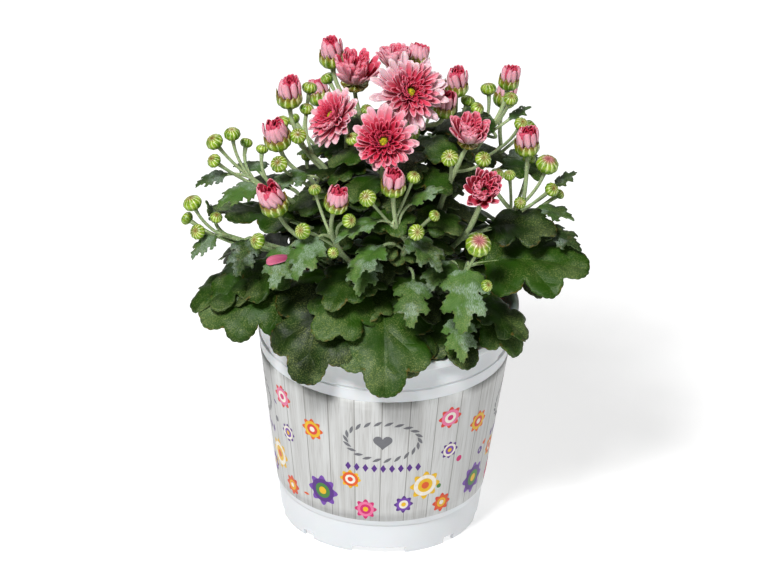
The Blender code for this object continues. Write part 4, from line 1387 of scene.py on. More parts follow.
class BudScale(Finish):
    """Scales of a bud or cup: lime green with pale ribs that meet in a brown-red centre."""

    roughness = 0.34
    settings = {"Subsurface Weight": 0.1, "Subsurface Scale": 0.001}

    def coat(self) -> Coat:
        """Thin pale rib on each scale, brown-red tips at the top, a pink blush on the ripest, and a darker
        green low down that is painted shade under the head.
        """
        turn, up = self.shape()
        wave = (turn * (2 * RIBS * math.pi) + self.mottle(2.2) * 4.0).cosine()
        cloud = self.mottle(3.0, 3.0)
        rib = (wave + (cloud - 0.5) * 1.6).eased(0.3, 1.0)
        between = up.eased(0.62, 0.9) * (1.0 - rib)
        middle = (up + wave * 0.05).eased(0.9, 1.02)
        lime = self.layered("5C8214", (cloud.eased(0.3, 0.7), "9CB632"))
        scales = self.layered(
            # The dark green at the foot, fading into lime by half way up, is painted shade under the head.
            "45651A",
            (up.eased(0.0, 0.45), lime),
            (rib * (up.eased(0.15, 0.75) * 0.66 + 0.12), "E2E8B4"),
            (self.stored("blush")[0] * up.eased(0.62, 0.92), "D58E98"),
            ((between * 0.6).most(middle * 0.9), "7E3A1E"),
        )
        return Coat(scales, self.mottle(0.6), 0.08)


class Petal(Finish):
    """Strap petals: satin and thin, almost white-pink outside, coral further in, crimson round the disc."""

    roughness = 0.42
    settings = {"Subsurface Weight": 0.12, "Subsurface Scale": 0.001, "Specular IOR Level": 0.3}
    face = [
        (0.0, "E8CED3"), (0.16, "E1A5B1"), (0.34, "DE6A80"),
        (0.58, "D23E5C"), (0.8, "BA2442"), (1.0, "92162E"),
    ]
    reverse = [(0.0, "E8CED3"), (0.3, "DFA0AD"), (0.62, "DC6880"), (1.0, "BC3050")]

    def coat(self) -> Coat:
        """Colour by how far in the petal sits, deeper at the foot of its face, with fine pale streaks, and
        paler along the edges as a painted highlight on the rolled edges.
        """
        along, across = self.shape()
        tone, back = self.stored("tone", "back")
        streak = self.streaks(along * 0.9, across * 5.0, 3.0)
        # The term on the distance across pales the edges: a painted highlight on the rolled edges.
        depth = tone * 0.72 + (streak - 0.5) * 0.5 - abs(across).eased(0.55, 1.0) * 0.06
        face = self.node("ShaderNodeValToRGB", {0: depth + (1.0 - along) * 0.5}, self.face)
        reverse = self.node("ShaderNodeValToRGB", {0: depth * depth * 1.35 + along * 0.22}, self.reverse)
        return Coat(self.layered(face, (back, reverse)), self.streaks(along * 0.6, across * 6.0), 0.12)


class WiltedPetal(Petal):
    """Dropped petal: the same satin strap gone a duller, mauve rose."""

    face = [(0.0, "EAB6C0"), (0.4, "CC7690"), (0.7, "A24468"), (1.0, "6E2846")]
    reverse = [(0.0, "D7A0B0"), (1.0, "96466A")]


class Hair(Finish):
    """Short silvery hairs of the stalks, drawn thicker than real ones so that they show."""

    roughness = 0.7

    def coat(self) -> Coat:
        """One pale grey-green."""
        return Coat("D9DFC8")


class DiscFloret(Finish):
    """Florets of the disc: powdery yellow-green."""

    roughness = 0.75

    def coat(self) -> Coat:
        """Yellow with greener hollows."""
        return Coat(self.layered("9AA022", (self.mottle(1.2).eased(0.35, 0.65), "D8CB2A")))


class PaleBoard(Finish):
    """Plain pale studio floor that glows a little by itself, a painted glow that keeps it even and its
    shadows faint, and lights the plant softly from below.
    """

    roughness = 0.9
    # The emission is a painted glow of the floor, not a lamp.
    settings = {"Emission Color": "FFFFFF", "Emission Strength": 0.62, "Specular IOR Level": 0.1}

    def coat(self) -> Coat:
        """One even pale grey."""
        return Coat("BDBDBD")


@dataclass
class PotShell:
    """The moulded pot: rounded rim, finger recesses under it, tapered wall, floor and notched foot ring."""

    steps: int = 192
    recess_depth: float = 0.9
    notch_angles: tuple = (31.0, 8.0)
    notch_height: float = 3.5

    def profile(self) -> tuple:
        """Closed section of the wall.

        Returns:
            Rows of (radius, height) in millimetres, and the number of the first inner row.
        """
        outer_rim = [
            (RIM_RADIUS - 0.9 + 0.9 * math.cos(turn), POT_HEIGHT - 0.9 + 0.9 * math.sin(turn))
            for turn in np.linspace(0.0, math.pi / 2, 6)
        ]
        low_rim = [
            (RIM_RADIUS - 0.7 + 0.7 * math.cos(turn), POT_HEIGHT - RIM_DEPTH + 0.7 + 0.7 * math.sin(turn))
            for turn in np.linspace(-math.pi / 2, 0.0, 4)
        ]
        collar = [
            (COLLAR_RADIUS + 1.0, POT_HEIGHT - RIM_DEPTH - 0.3),
            (COLLAR_RADIUS + 0.75, POT_HEIGHT - 8.0),
        ]
        collar += [(COLLAR_RADIUS + 0.3, height) for height in np.linspace(104.0, 99.8, 4)]
        groove = [(COLLAR_RADIUS - 0.45, COLLAR_FOOT + 0.7), (COLLAR_RADIUS - 0.45, COLLAR_FOOT + 0.2)]
        wall = [(wall_radius(height), height) for height in np.linspace(COLLAR_FOOT - 0.4, BAND_FOOT, 10)]
        foot = [
            (BAND_FOOT_RADIUS - 0.25, BAND_FOOT - 0.3),
            (BAND_FOOT_RADIUS - 0.7, BAND_FOOT - 0.7),
            (BAND_FOOT_RADIUS - 1.1, 11.0),
            (FOOT_RADIUS + 0.4, 2.5),
            (FOOT_RADIUS, 0.4),
            (FOOT_RADIUS - 0.4, 0.0),
            (FOOT_RADIUS - FOOT_WALL, 0.0),
            (FOOT_RADIUS - FOOT_WALL + 0.3, FLOOR_UNDERSIDE),
            (5.0, FLOOR_UNDERSIDE),
            (5.0, FLOOR_UNDERSIDE + WALL),
            (wall_radius(FLOOR_UNDERSIDE + WALL) - WALL - 1.5, FLOOR_UNDERSIDE + WALL),
        ]
        inner = [(wall_radius(height) - WALL, height) for height in (40.0, 70.0, COLLAR_FOOT)]
        mouth = RIM_RADIUS - RIM_WIDTH
        inner += [(mouth + 0.2, POT_HEIGHT - 5.0), (mouth + 0.4, POT_HEIGHT - 1.4)]
        inner += [(mouth + 0.9, POT_HEIGHT - 0.4), (mouth + 1.5, POT_HEIGHT)]
        outer = outer_rim[::-1] + low_rim[::-1] + collar + groove + wall + foot
        return np.array(outer + inner), len(outer)

    def sheet(self) -> tuple:
        """Turn the section and press the finger recesses into the collar.

        Returns:
            Corners, faces, a pair (turn, row) for each corner, and a 1 for each inner one.
        """
        profile, first_inner = self.profile()
        places, uv = lathe(profile, self.steps)
        inner = np.repeat(np.arange(len(profile)) >= first_inner, self.steps) * 1.0
        turn = np.degrees(np.arctan2(places[:, 1], places[:, 0]))
        for side in (0.0, 180.0):
            away = np.abs((turn - side + 180.0) % 360.0 - 180.0)
            mask = np.clip((27.0 - away) / 2.5, 0.0, 1.0)
            mask *= (places[:, 2] > 99.0) & (places[:, 2] < POT_HEIGHT - RIM_DEPTH)
            mask *= np.hypot(places[:, 0], places[:, 1]) > COLLAR_RADIUS - 0.6
            places[:, :2] *= (1.0 - mask * self.recess_depth / RIM_RADIUS)[:, None]
        faces = grid_faces(len(profile), self.steps, wrap=True)
        for face in grid_faces(2, self.steps, wrap=True):
            faces.append(tuple((corner - self.steps) % len(places) for corner in face))
        return places, [face[::-1] for face in faces], uv, inner

    def notched(self, mesh: bpy.types.Mesh) -> bpy.types.Mesh:
        """Cut the eight drain notches into the foot ring.

        Args:
            mesh: The uncut pot.

        Returns:
            The cut pot.
        """
        cutter = bmesh.new()
        for eighth in range(8):
            wide = 2 * FOOT_RADIUS * math.sin(math.radians(self.notch_angles[eighth % 2] / 2))
            shape = Matrix.Diagonal((14.0 * MM, wide * MM, 2 * self.notch_height * MM, 1.0))
            shift = Matrix.Translation(((FOOT_RADIUS - 3.0) * MM, 0.0, 0.0))
            turn = Matrix.Rotation(math.radians(45.0 * eighth), 4, "Z")
            bmesh.ops.create_cube(cutter, size=1.0, matrix=turn @ shift @ shape)
        return cut_by("pot_shell", mesh, cutter)

    def build(self, finish: Finish) -> None:
        """Build and show the pot.

        Args:
            finish: The plastic.
        """
        draft = Draft()
        places, faces, uv, inner = self.sheet()
        draft.add(places, faces, uv, inner=inner)
        mesh = self.notched(draft.mesh("pot_shell"))
        coated(mesh, finish)
        mesh.set_sharp_from_angle(angle=math.radians(40))
        piece("pot_shell", mesh, "white_plastic", "pot")


def cut_by(name: str, mesh: bpy.types.Mesh, cutter: bmesh.types.BMesh) -> bpy.types.Mesh:
    """Cut a closed mesh by another.

    Args:
        name: Name of the result.
        mesh: The mesh to cut.
        cutter: The bodies to take away, which this frees.

    Returns:
        The cut mesh.
    """
    tool = add_object("cutter", freed("cutter", cutter))
    thing = add_object(name, mesh)
    cut = thing.modifiers.new("cut", "BOOLEAN")
    cut.object = tool
    cut.operation = "DIFFERENCE"
    cut.solver = "EXACT"
    made = settled(thing)
    bpy.data.objects.remove(tool)
    return made


def coated(mesh: bpy.types.Mesh, finish: Finish) -> None:
    """Give a cut mesh one finish all over, and smooth shading.

    Args:
        mesh: The mesh.
        finish: The finish.
    """
    mesh.materials.clear()
    mesh.materials.append(finish.material)
    mesh.shade_smooth()


@dataclass
class Label:
    """The printed film round the wall: white-washed planks with loose, bright motifs printed over them."""

    low: float = 20.0
    high: float = 92.0
    middle_radius: float = 56.5
    seed: int = 12
    diamonds: int = 9
    wreath_leaves: int = 22
    wreath_size: tuple = (18.0, 11.0)
    rosettes: tuple = (
        (9, 68, 6.2, (1, 3, 4, 9)),
        (13, 33, 9.0, (5, 0, 7, 3)),
        (29, 44, 5.6, (3, 1, 9, 4)),
        (37, 27, 6.0, (2, 8, 2, 3)),
        (57, 30, 5.2, (0, 5, 9, 3)),
        (68, 40, 8.4, (3, 9, 3, 1)),
        (79, 27, 5.6, (4, 1, 3, 9)),
        (78, 78, 6.4, (4, 8, 9, 2)),
        (80, 58, 5.0, (0, 9, 5, 3)),
    )

    def wrapped(self, flat: np.ndarray, lift: float) -> np.ndarray:
        """Lay flat places, in millimetres right of the front and up from the ground, on the wall.

        Args:
            flat: Rows of (right, up).
            lift: Height over the wall's surface.

        Returns:
            The places on the wall.
        """
        angle = -math.pi / 2 + flat[:, 0] / self.middle_radius
        radius = wall_radius(flat[:, 1]) + lift
        return np.column_stack([radius * np.cos(angle), radius * np.sin(angle), flat[:, 1]])

    def build_film(self, finish: Finish) -> None:
        """Build and show the film.

        Args:
            finish: The printed film.
        """
        steps = 160
        rights = np.linspace(-math.pi, math.pi, steps + 1) * self.middle_radius
        heights = [self.low, self.low, *np.linspace(self.low + 6, self.high - 6, 6), self.high, self.high]
        lifts = [0.02] + [0.1] * 8 + [0.02]
        uv = [np.column_stack([rights, rights * 0 + up]) for up in heights]
        rows = [self.wrapped(flat, lift) for flat, lift in zip(uv, lifts)]
        draft = Draft()
        draft.add(np.vstack(rows), grid_faces(len(rows), steps + 1), np.vstack(uv))
        piece("label_film", draft.mesh("label_film", finish), "white_plastic")

    def motif(self, kind: str, size: float) -> np.ndarray:
        """Outline of one printed motif about its own middle.

        Args:
            kind: Which shape.
            size: Half its width.

        Returns:
            Its corners.
        """
        turns = np.linspace(0.0, 2 * math.pi, 48, endpoint=False)
        if kind == "heart":
            flat = np.column_stack([
                16 * np.sin(turns) ** 3,
                13 * np.cos(turns) - 5 * np.cos(2 * turns) - 2 * np.cos(3 * turns) - np.cos(4 * turns),
            ]) / 16
            return flat[::-1] * size
        if kind == "leaf":
            along = np.concatenate([np.linspace(-1, 1, 14), np.linspace(1, -1, 14)[1:-1]])
            sign = np.concatenate([-np.ones(14), np.ones(12)])
            return np.column_stack([along, sign * 0.32 * np.cos(along * math.pi / 2)]) * size
        reach = np.ones(len(turns))
        if kind == "star":
            reach = np.where(np.arange(10) % 2 == 0, 1.0, 0.45)
            turns = np.arange(10) * math.pi / 5 + math.pi / 2
        elif kind == "diamond":
            reach = np.ones(4)
            turns = np.arange(4) * math.pi / 2
        elif kind == "scallop":
            reach = 0.86 + 0.14 * np.cos(8 * turns)
        width = 0.62 if kind == "diamond" else 1.0
        return np.column_stack([np.cos(turns) * width, np.sin(turns)]) * reach[:, None] * size

    def stamp(
        self, draft: Draft, kind: str, at: tuple, size: float, ink: int, turn: float = 0.0, lift: float = 0.14
    ) -> None:
        """Print one motif.

        Args:
            draft: Where its faces go.
            kind: Which shape.
            at: Its middle, in millimetres right of the front and up from the ground.
            size: Half its width.
            ink: Number of its ink.
            turn: How far it is turned, in degrees.
            lift: Height over the wall.
        """
        flat = self.motif(kind, size)
        sine, cosine = math.sin(math.radians(turn)), math.cos(math.radians(turn))
        flat = flat @ np.array([[cosine, sine], [-sine, cosine]]) + np.array(at)
        points, faces = filled(flat, 2.6)
        draft.add(self.wrapped(points, lift), faces, points, ink=ink / 10 + 0.05)

    def rosette(self, draft: Draft, at: tuple, size: float, inks: tuple) -> None:
        """Print rings of colour inside each other, the outermost scalloped.

        Args:
            draft: Where its faces go.
            at: Its middle.
            size: Half its width.
            inks: The inks from the outermost ring in.
        """
        for rank, (share, ink) in enumerate(zip((1.0, 0.74, 0.48, 0.24), inks)):
            kind = "scallop" if rank == 0 else "disc"
            self.stamp(draft, kind, at, size * share, ink, lift=0.14 + 0.03 * rank)

    def wreath(self, draft: Draft, middle: tuple) -> None:
        """Print a heart in an oval wreath of leaves.

        Args:
            draft: Where its faces go.
            middle: Its middle.
        """
        half_width, half_height = self.wreath_size
        for number in range(self.wreath_leaves):
            turn = 2 * math.pi * number / self.wreath_leaves
            right, up = half_width * math.cos(turn), half_height * math.sin(turn)
            heading = math.degrees(math.atan2(half_height * math.cos(turn), -half_width * math.sin(turn)))
            self.stamp(draft, "leaf", (middle[0] + right, middle[1] + up), 2.5, 6, heading + 32)
        self.stamp(draft, "heart", middle, 4.6, 6)

    def build_motifs(self, finish: Finish) -> None:
        """Build and show the printed motifs, strewn the same way round all sides.

        Args:
            finish: The inks.
        """
        draft = Draft()
        draw = random.Random(self.seed)
        for side in range(4):
            start = (side * 0.5 - 0.25) * math.pi * self.middle_radius
            for right, up, size, inks in self.rosettes:
                self.rosette(draft, (start + right, up), size, inks)
            for number in range(self.diamonds):
                self.stamp(draft, "diamond", (start + 28 + 4.4 * number, 52.0), 2.4, 0)
            self.wreath(draft, (start + 45, 68))
            for number in range(10):
                kind = ("heart", "star", "leaf", "disc")[number % 4]
                at = (start + draw.uniform(0, 88), draw.uniform(23, 88))
                if 22 < at[0] - start < 68 and at[1] > 46:
                    continue
                size, turn = draw.uniform(1.3, 2.2), draw.uniform(-35, 35)
                self.stamp(draft, kind, at, size, draw.randrange(9), turn, 0.12)
        piece("label_motifs", draft.mesh("label_motifs", finish), "white_plastic")


@dataclass
class PeatBed:
    """The peat: a clodded top with a hole for each rooted stem, and loose crumbs.

    Each row of clods is a height and a width: of the swells, of the clods and of the grit.
    """

    shoots: list
    steps: int = 96
    top_rings: int = 34
    clods: tuple = ((1.3, 9.0), (0.9, 2.6), (0.35, 1.1))

    def build_bed(self, finish: Finish) -> bpy.types.Mesh:
        """Build and show the bed.

        Returns:
            A sheet like its top, to strew crumbs on.
        """
        foot = FLOOR_UNDERSIDE + WALL + GAP
        top_radius = wall_radius(SOIL_TOP) - WALL - 1.2
        rings = [(radius, SOIL_TOP) for radius in np.linspace(0.6, 57.0, self.top_rings)]
        rings += [(top_radius, SOIL_TOP - 1.0), (wall_radius(foot) - WALL - 1.5 - GAP, foot), (0.6, foot)]
        places, uv, faces = closed_lathe(np.array(rings), self.steps)
        for place in places:
            if place[2] > SOIL_TOP - 0.5:
                spot = Vector((place[0], place[1], SOIL_TOP)) * MM
                swell, clod, grit = (high * noise.noise(spot / (wide * MM)) for high, wide in self.clods)
                flatter = max(0.0, math.hypot(place[0], place[1]) - 50.0) / 10.0
                place[2] += swell + (clod + grit) * (1.0 - flatter)
        draft = Draft()
        draft.add(places, [face[::-1] for face in faces], uv, tone=0.3)
        cutter = bmesh.new()
        for shoot in self.shoots:
            x, y, root = shoot.axis[0]
            radius = (ROOT_RADIUS + 0.45) * MM
            middle = Matrix.Translation((x * MM, y * MM, (root - GAP + 120.0) / 2 * MM))
            depth = (120.0 - root + GAP) * MM
            sizes = {"segments": 24, "radius1": radius, "radius2": radius, "depth": depth}
            bmesh.ops.create_cone(cutter, cap_ends=True, matrix=middle, **sizes)
        mesh = cut_by("peat_bed", draft.mesh("peat_bed"), cutter)
        coated(mesh, finish)
        piece("peat_bed", mesh, "peat", "soil")
        top = Draft()
        rows = self.top_rings - 1
        count = rows * self.steps
        top.add(places[:count], [face[::-1] for face in grid_faces(rows, self.steps, wrap=True)], uv[:count])
        return top.mesh("peat_top")

    def build_crumbs(self, finish: Finish, top: bpy.types.Mesh) -> None:
        """Strew crumbs of two sizes over the top.

        Args:
            finish: The peat.
            top: The sheet that they lie on.
        """
        crumb = bmesh.new()
        bmesh.ops.create_icosphere(crumb, subdivisions=1, radius=MM)
        for corner in crumb.verts:
            corner.co *= 1.0 + 0.5 * noise.noise(corner.co / (0.9 * MM))
            corner.co.x *= 1.35
        sizes = {"Density": 330000.0, "Smallest": 0.35, "Largest": 1.35, "Seed": 4}
        shape = freed("crumb", crumb)
        strewn = Crumbs().apply("peat_crumbs", top, Crumb=shape, Material=finish.material, **sizes)
        piece("peat_crumbs", strewn, "peat")


def half_outline(kind: Age, turns: Any) -> list:
    """Trace half a leaf's edge from its foot to its tip.

    Args:
        kind: The leaf's age.
        turns: Directions round each lobe, in degrees.

    Returns:
        Corners as (along, across) in leaf lengths.
    """
    old = kind is OLD
    lobes, bays, blunt = (OLD_LOBES, OLD_BAYS, 0.45) if old else (YOUNG_LOBES, YOUNG_BAYS, 1.2)
    points = []
    for number, lobe in enumerate(lobes):
        last = number == len(lobes) - 1
        heading = math.radians(lobe.direction)
        for turn in turns:
            if last and turn > -8:
                continue
            swing = math.radians(turn)
            out = lobe.length * math.cos(swing) ** blunt
            side = -lobe.half_width * math.sin(swing)
            along = lobe.along + out * math.cos(heading) - side * math.sin(heading)
            across = lobe.across + out * math.sin(heading) + side * math.cos(heading)
            points.append((along, across))
        if not last:
            points.append(bays[number])
    return points


def vein_segments(lobes: list) -> list:
    """Start and end of the main vein of each side lobe and of its own small side veins.

    Args:
        lobes: The lobes of half a leaf.

    Returns:
        Pairs of places in leaf lengths.
    """
    segments = []
    for lobe in lobes:
        heading = math.radians(lobe.direction)
        start = (max(0.0, lobe.along - 0.08), 0.0)
        tip = (
            lobe.along + 0.9 * lobe.length * math.cos(heading),
            lobe.across + 0.9 * lobe.length * math.sin(heading),
        )
        if lobe.direction:
            segments.append((start, tip))
        for share, spread in ((0.45, 38), (0.7, -34)):
            foot = tuple(first + (second - first) * share for first, second in zip(start, tip))
            turned = heading + math.radians(spread)
            reach = 0.6 * lobe.half_width
            segments.append((foot, (foot[0] + reach * math.cos(turned), foot[1] + reach * math.sin(turned))))
    return segments


def vein_distance(flat: np.ndarray, lobes: list) -> np.ndarray:
    """Distance of places on a blade to the nearest vein, in leaf lengths.

    Args:
        flat: Rows of (along, across) in leaf lengths.
        lobes: The lobes of half a leaf.

    Returns:
        The distance of each place.
    """
    folded = np.column_stack([flat[:, 0], np.abs(flat[:, 1])])
    nearest = folded[:, 1].copy()
    for start, end in vein_segments(lobes):
        first, run = np.array(start), np.array(end) - np.array(start)
        share = np.clip((folded - first) @ run / (run @ run), 0.0, 1.0)
        nearest = np.minimum(nearest, np.linalg.norm(folded - first - share[:, None] * run, axis=1))
    return nearest


def turned(places: np.ndarray, leaf: Leaf) -> np.ndarray:
    """Roll places about the leaf's own length, turn them to its heading and move them to its foot.

    Args:
        places: The places in millimetres.
        leaf: The leaf.

    Returns:
        The moved places.
    """
    heading = Matrix.Rotation(math.radians(leaf.heading), 3, "Z")
    roll = Matrix.Rotation(math.radians(leaf.roll), 3, "X")
    return places @ np.array(heading @ roll).T + np.array(leaf.foot)


def bent(leaf: Leaf, flat: np.ndarray, raised: Any = 0.0) -> np.ndarray:
    """Bend a flat blade as the leaf hangs.

    Args:
        leaf: The leaf.
        flat: Rows of (along, across) in leaf lengths.
        raised: Extra lift over the blade, in leaf lengths.

    Returns:
        Places in millimetres.
    """
    along, across = flat[:, 0], flat[:, 1]
    rise, droop = math.radians(leaf.rise), math.radians(leaf.droop)
    forward, up = arc(leaf.length, rise, -droop, along)
    fold = 0.26 * np.abs(across) - 0.95 * across**2
    ripple = 0.024 * np.sin(9.0 * along + 4.0 * across)
    lift = leaf.length * (fold + ripple * np.abs(across) * 2.5 + raised)
    now = rise - droop * along
    places = np.column_stack([forward - lift * np.sin(now), across * leaf.length, up + lift * np.cos(now)])
    return turned(places, leaf)


@dataclass
class Foliage:
    """Leaves as thin lobed blades with toothed edges and sunken veins."""

    spacing: float = 1.5
    thickness: float = 0.45
    tooth: float = 0.42
    tooth_pitch: float = 3.9

    def outline(self, leaf: Leaf) -> np.ndarray:
        """Edge of a flat leaf with its teeth.

        Args:
            leaf: The leaf.

        Returns:
            Corners in leaf lengths, against the clock.
        """
        old = leaf.kind is OLD
        half = half_outline(leaf.kind, range(-75, 70, 10) if old else range(-80, 75, 10))
        foot = (1.0 if old else 0.75) / leaf.length
        right = [(0.0, foot), (0.1, foot * 1.6)] + half
        corners = np.array(right + [(1.0, 0.0)] + [(along, -across) for along, across in reversed(right)])
        for _ in range(2 if old else 1):
            ahead = np.roll(corners, -1, axis=0)
            cut = [corners * 0.75 + ahead * 0.25, corners * 0.25 + ahead * 0.75]
            corners = np.stack(cut, axis=1).reshape(-1, 2)
        corners[:, 0] = np.maximum(corners[:, 0], 0.0)
        scale = leaf.length
        apart = self.tooth_pitch / (4 if old else 6)
        edge = resampled(corners, apart / scale)
        step = np.roll(edge, -1, axis=0) - np.roll(edge, 1, axis=0)
        out = np.column_stack([-step[:, 1], step[:, 0]])
        out /= np.maximum(np.linalg.norm(step, axis=1), 1e-9)[:, None]
        gone = np.arange(len(edge)) * apart
        rounded = np.abs(np.sin(math.pi * gone / self.tooth_pitch)) - 0.6
        phase = gone / (0.84 * self.tooth_pitch) % 1.0
        phase = np.where(gone < gone[-1] / 2, phase, 1.0 - phase)
        teeth = rounded if old else 1.3 * phase**1.5 - 0.5
        size = (self.tooth if old else 2.4 * self.tooth) * np.clip((edge[:, 0] - 0.12) / 0.1, 0.0, 1.0)
        edge = edge + out * (teeth * size / scale)[:, None]
        edge[:, 0] = np.maximum(edge[:, 0], 0.0)
        area = np.sum(edge[:, 0] * np.roll(edge[:, 1], -1) - np.roll(edge[:, 0], -1) * edge[:, 1])
        return edge if area > 0 else edge[::-1]

    def grow(self, draft: Draft, leaf: Leaf, draw: random.Random) -> None:
        """Add one leaf.

        Args:
            draft: Where its faces go.
            leaf: The leaf.
            draw: Seeded random numbers.
        """
        edge = self.outline(leaf)
        flat, faces = filled(edge, self.spacing / leaf.length)
        lobes = OLD_LOBES if leaf.kind is OLD else YOUNG_LOBES
        pillow = np.minimum(vein_distance(flat, lobes), 0.05) * 0.28
        wave = np.sin(flat[:, 0] * 21.0 + draw.uniform(0.0, 6.0)) * np.sin(flat[:, 1] * 14.0 + 1.0)
        pillow = pillow + 0.02 * wave * np.clip(np.abs(flat[:, 1]) / 0.3, 0.0, 1.0)
        margin = np.clip(edge_distance(flat, flat[: len(edge)]) * leaf.length, 0.0, 4.0)
        places = bent(leaf, flat, pillow)
        loop = list(range(len(edge)))
        draft.shell(places, faces, loop, flat, self.thickness, tone=draw.random(), margin=margin)


def stalk_curve(name: str, runs: list) -> bpy.types.Curve:
    """Draw stems as splines with a radius at each point.

    Args:
        name: Name of the curve.
        runs: Pairs of points in millimetres and radii in millimetres.

    Returns:
        The curve.
    """
    curve = bpy.data.curves.new(name, "CURVE")
    curve.dimensions = "3D"
    for points, radii in runs:
        spline = curve.splines.new("POLY")
        spline.points.add(len(points) - 1)
        for knot, point, radius in zip(spline.points, points, radii):
            knot.co = (*(Vector(point) * MM), 1.0)
            knot.radius = radius
    return curve


@dataclass
class HeadShapes:
    """Shapes of a closed bud and of a green cup, with the foot at the origin and a radius of one metre."""

    steps: int = 48

    def bud(self) -> bpy.types.Mesh:
        """Ribbed, flattened globe with a dimple on top."""
        profile = [
            (0.02, 0.0), (0.36, 0.01), (0.66, 0.16), (0.88, 0.38), (0.99, 0.64), (1.0, 0.84), (0.93, 1.06),
            (0.78, 1.25), (0.58, 1.38), (0.36, 1.44), (0.17, 1.42), (0.03, 1.36),
        ]
        return self.ribbed("bud_shape", profile, 0.035, 0.0)

    def cup(self) -> bpy.types.Mesh:
        """Ribbed cup whose scales end in points, a unit wide and a unit high."""
        profile = [(0.02, 0.0), (0.42, 0.02), (0.68, 0.2), (0.86, 0.42), (0.96, 0.68), (1.0, 0.9)]
        profile += [(1.02, 1.0), (0.98, 1.0), (0.9, 0.86), (0.5, 0.8), (0.03, 0.8)]
        return self.ribbed("cup_shape", profile, 0.04, 0.2)

    def bulb(self) -> bpy.types.Mesh:
        """Round cup of an opening bud, whose scales hug the petals to well over its rim."""
        profile = [(0.02, 0.0), (0.4, 0.01), (0.7, 0.16), (0.9, 0.4), (1.0, 0.68), (1.02, 0.92), (0.99, 1.16)]
        profile += [(0.955, 1.36), (0.935, 1.36), (0.93, 1.12), (0.9, 0.9), (0.5, 0.86), (0.03, 0.86)]
        return self.ribbed("bulb_shape", profile, 0.035, 0.5)

    def ribbed(self, name: str, profile: list, rib: float, point: float) -> bpy.types.Mesh:
        """Turn a profile with ribs round it.

        Args:
            name: Name of the mesh.
            profile: Rows of (radius, height), closed in the middle at both ends.
            rib: Height of a rib, as a share of the radius.
            point: Height of the scales' points at the top.

        Returns:
            The closed mesh.
        """
        rows = np.array(profile)
        places, uv, faces = closed_lathe(rows, self.steps)
        wave = np.cos(uv[:, 0] * 2 * RIBS * math.pi)
        radius = np.hypot(places[:, 0], places[:, 1])
        places[:, :2] *= (1.0 + rib * (wave - 0.3) * np.minimum(1.0, radius * 1.6))[:, None]
        top = rows[:, 1].max()
        if point:
            high = np.clip((places[:, 2] / top - 0.62) / 0.38, 0.0, 1.0) * (radius > 0.85)
            uneven = 0.75 + 0.35 * np.sin(uv[:, 0] * 14 * math.pi + 1.0)
            places[:, 2] += point * high * uneven * (0.5 + 0.5 * wave) ** 1.5
            uv[:, 1] = np.repeat(np.clip(rows[:, 1] / top, 0.0, 1.0) * 0.97, self.steps)
        draft = Draft()
        draft.add(places / MM, faces, uv)
        return draft.mesh(name)


def hair_shape() -> bpy.types.Mesh:
    """One tapered hair, half a millimetre long, standing along +Z.

    Returns:
        Its mesh.
    """
    hair = bmesh.new()
    standing = Matrix.Translation((0.0, 0.0, 0.22 * MM))
    sizes = {"segments": 3, "radius1": 0.035 * MM, "radius2": 0.0, "depth": 0.5 * MM}
    bmesh.ops.create_cone(hair, cap_ends=True, matrix=standing, **sizes)
    return freed("hair_shape", hair)


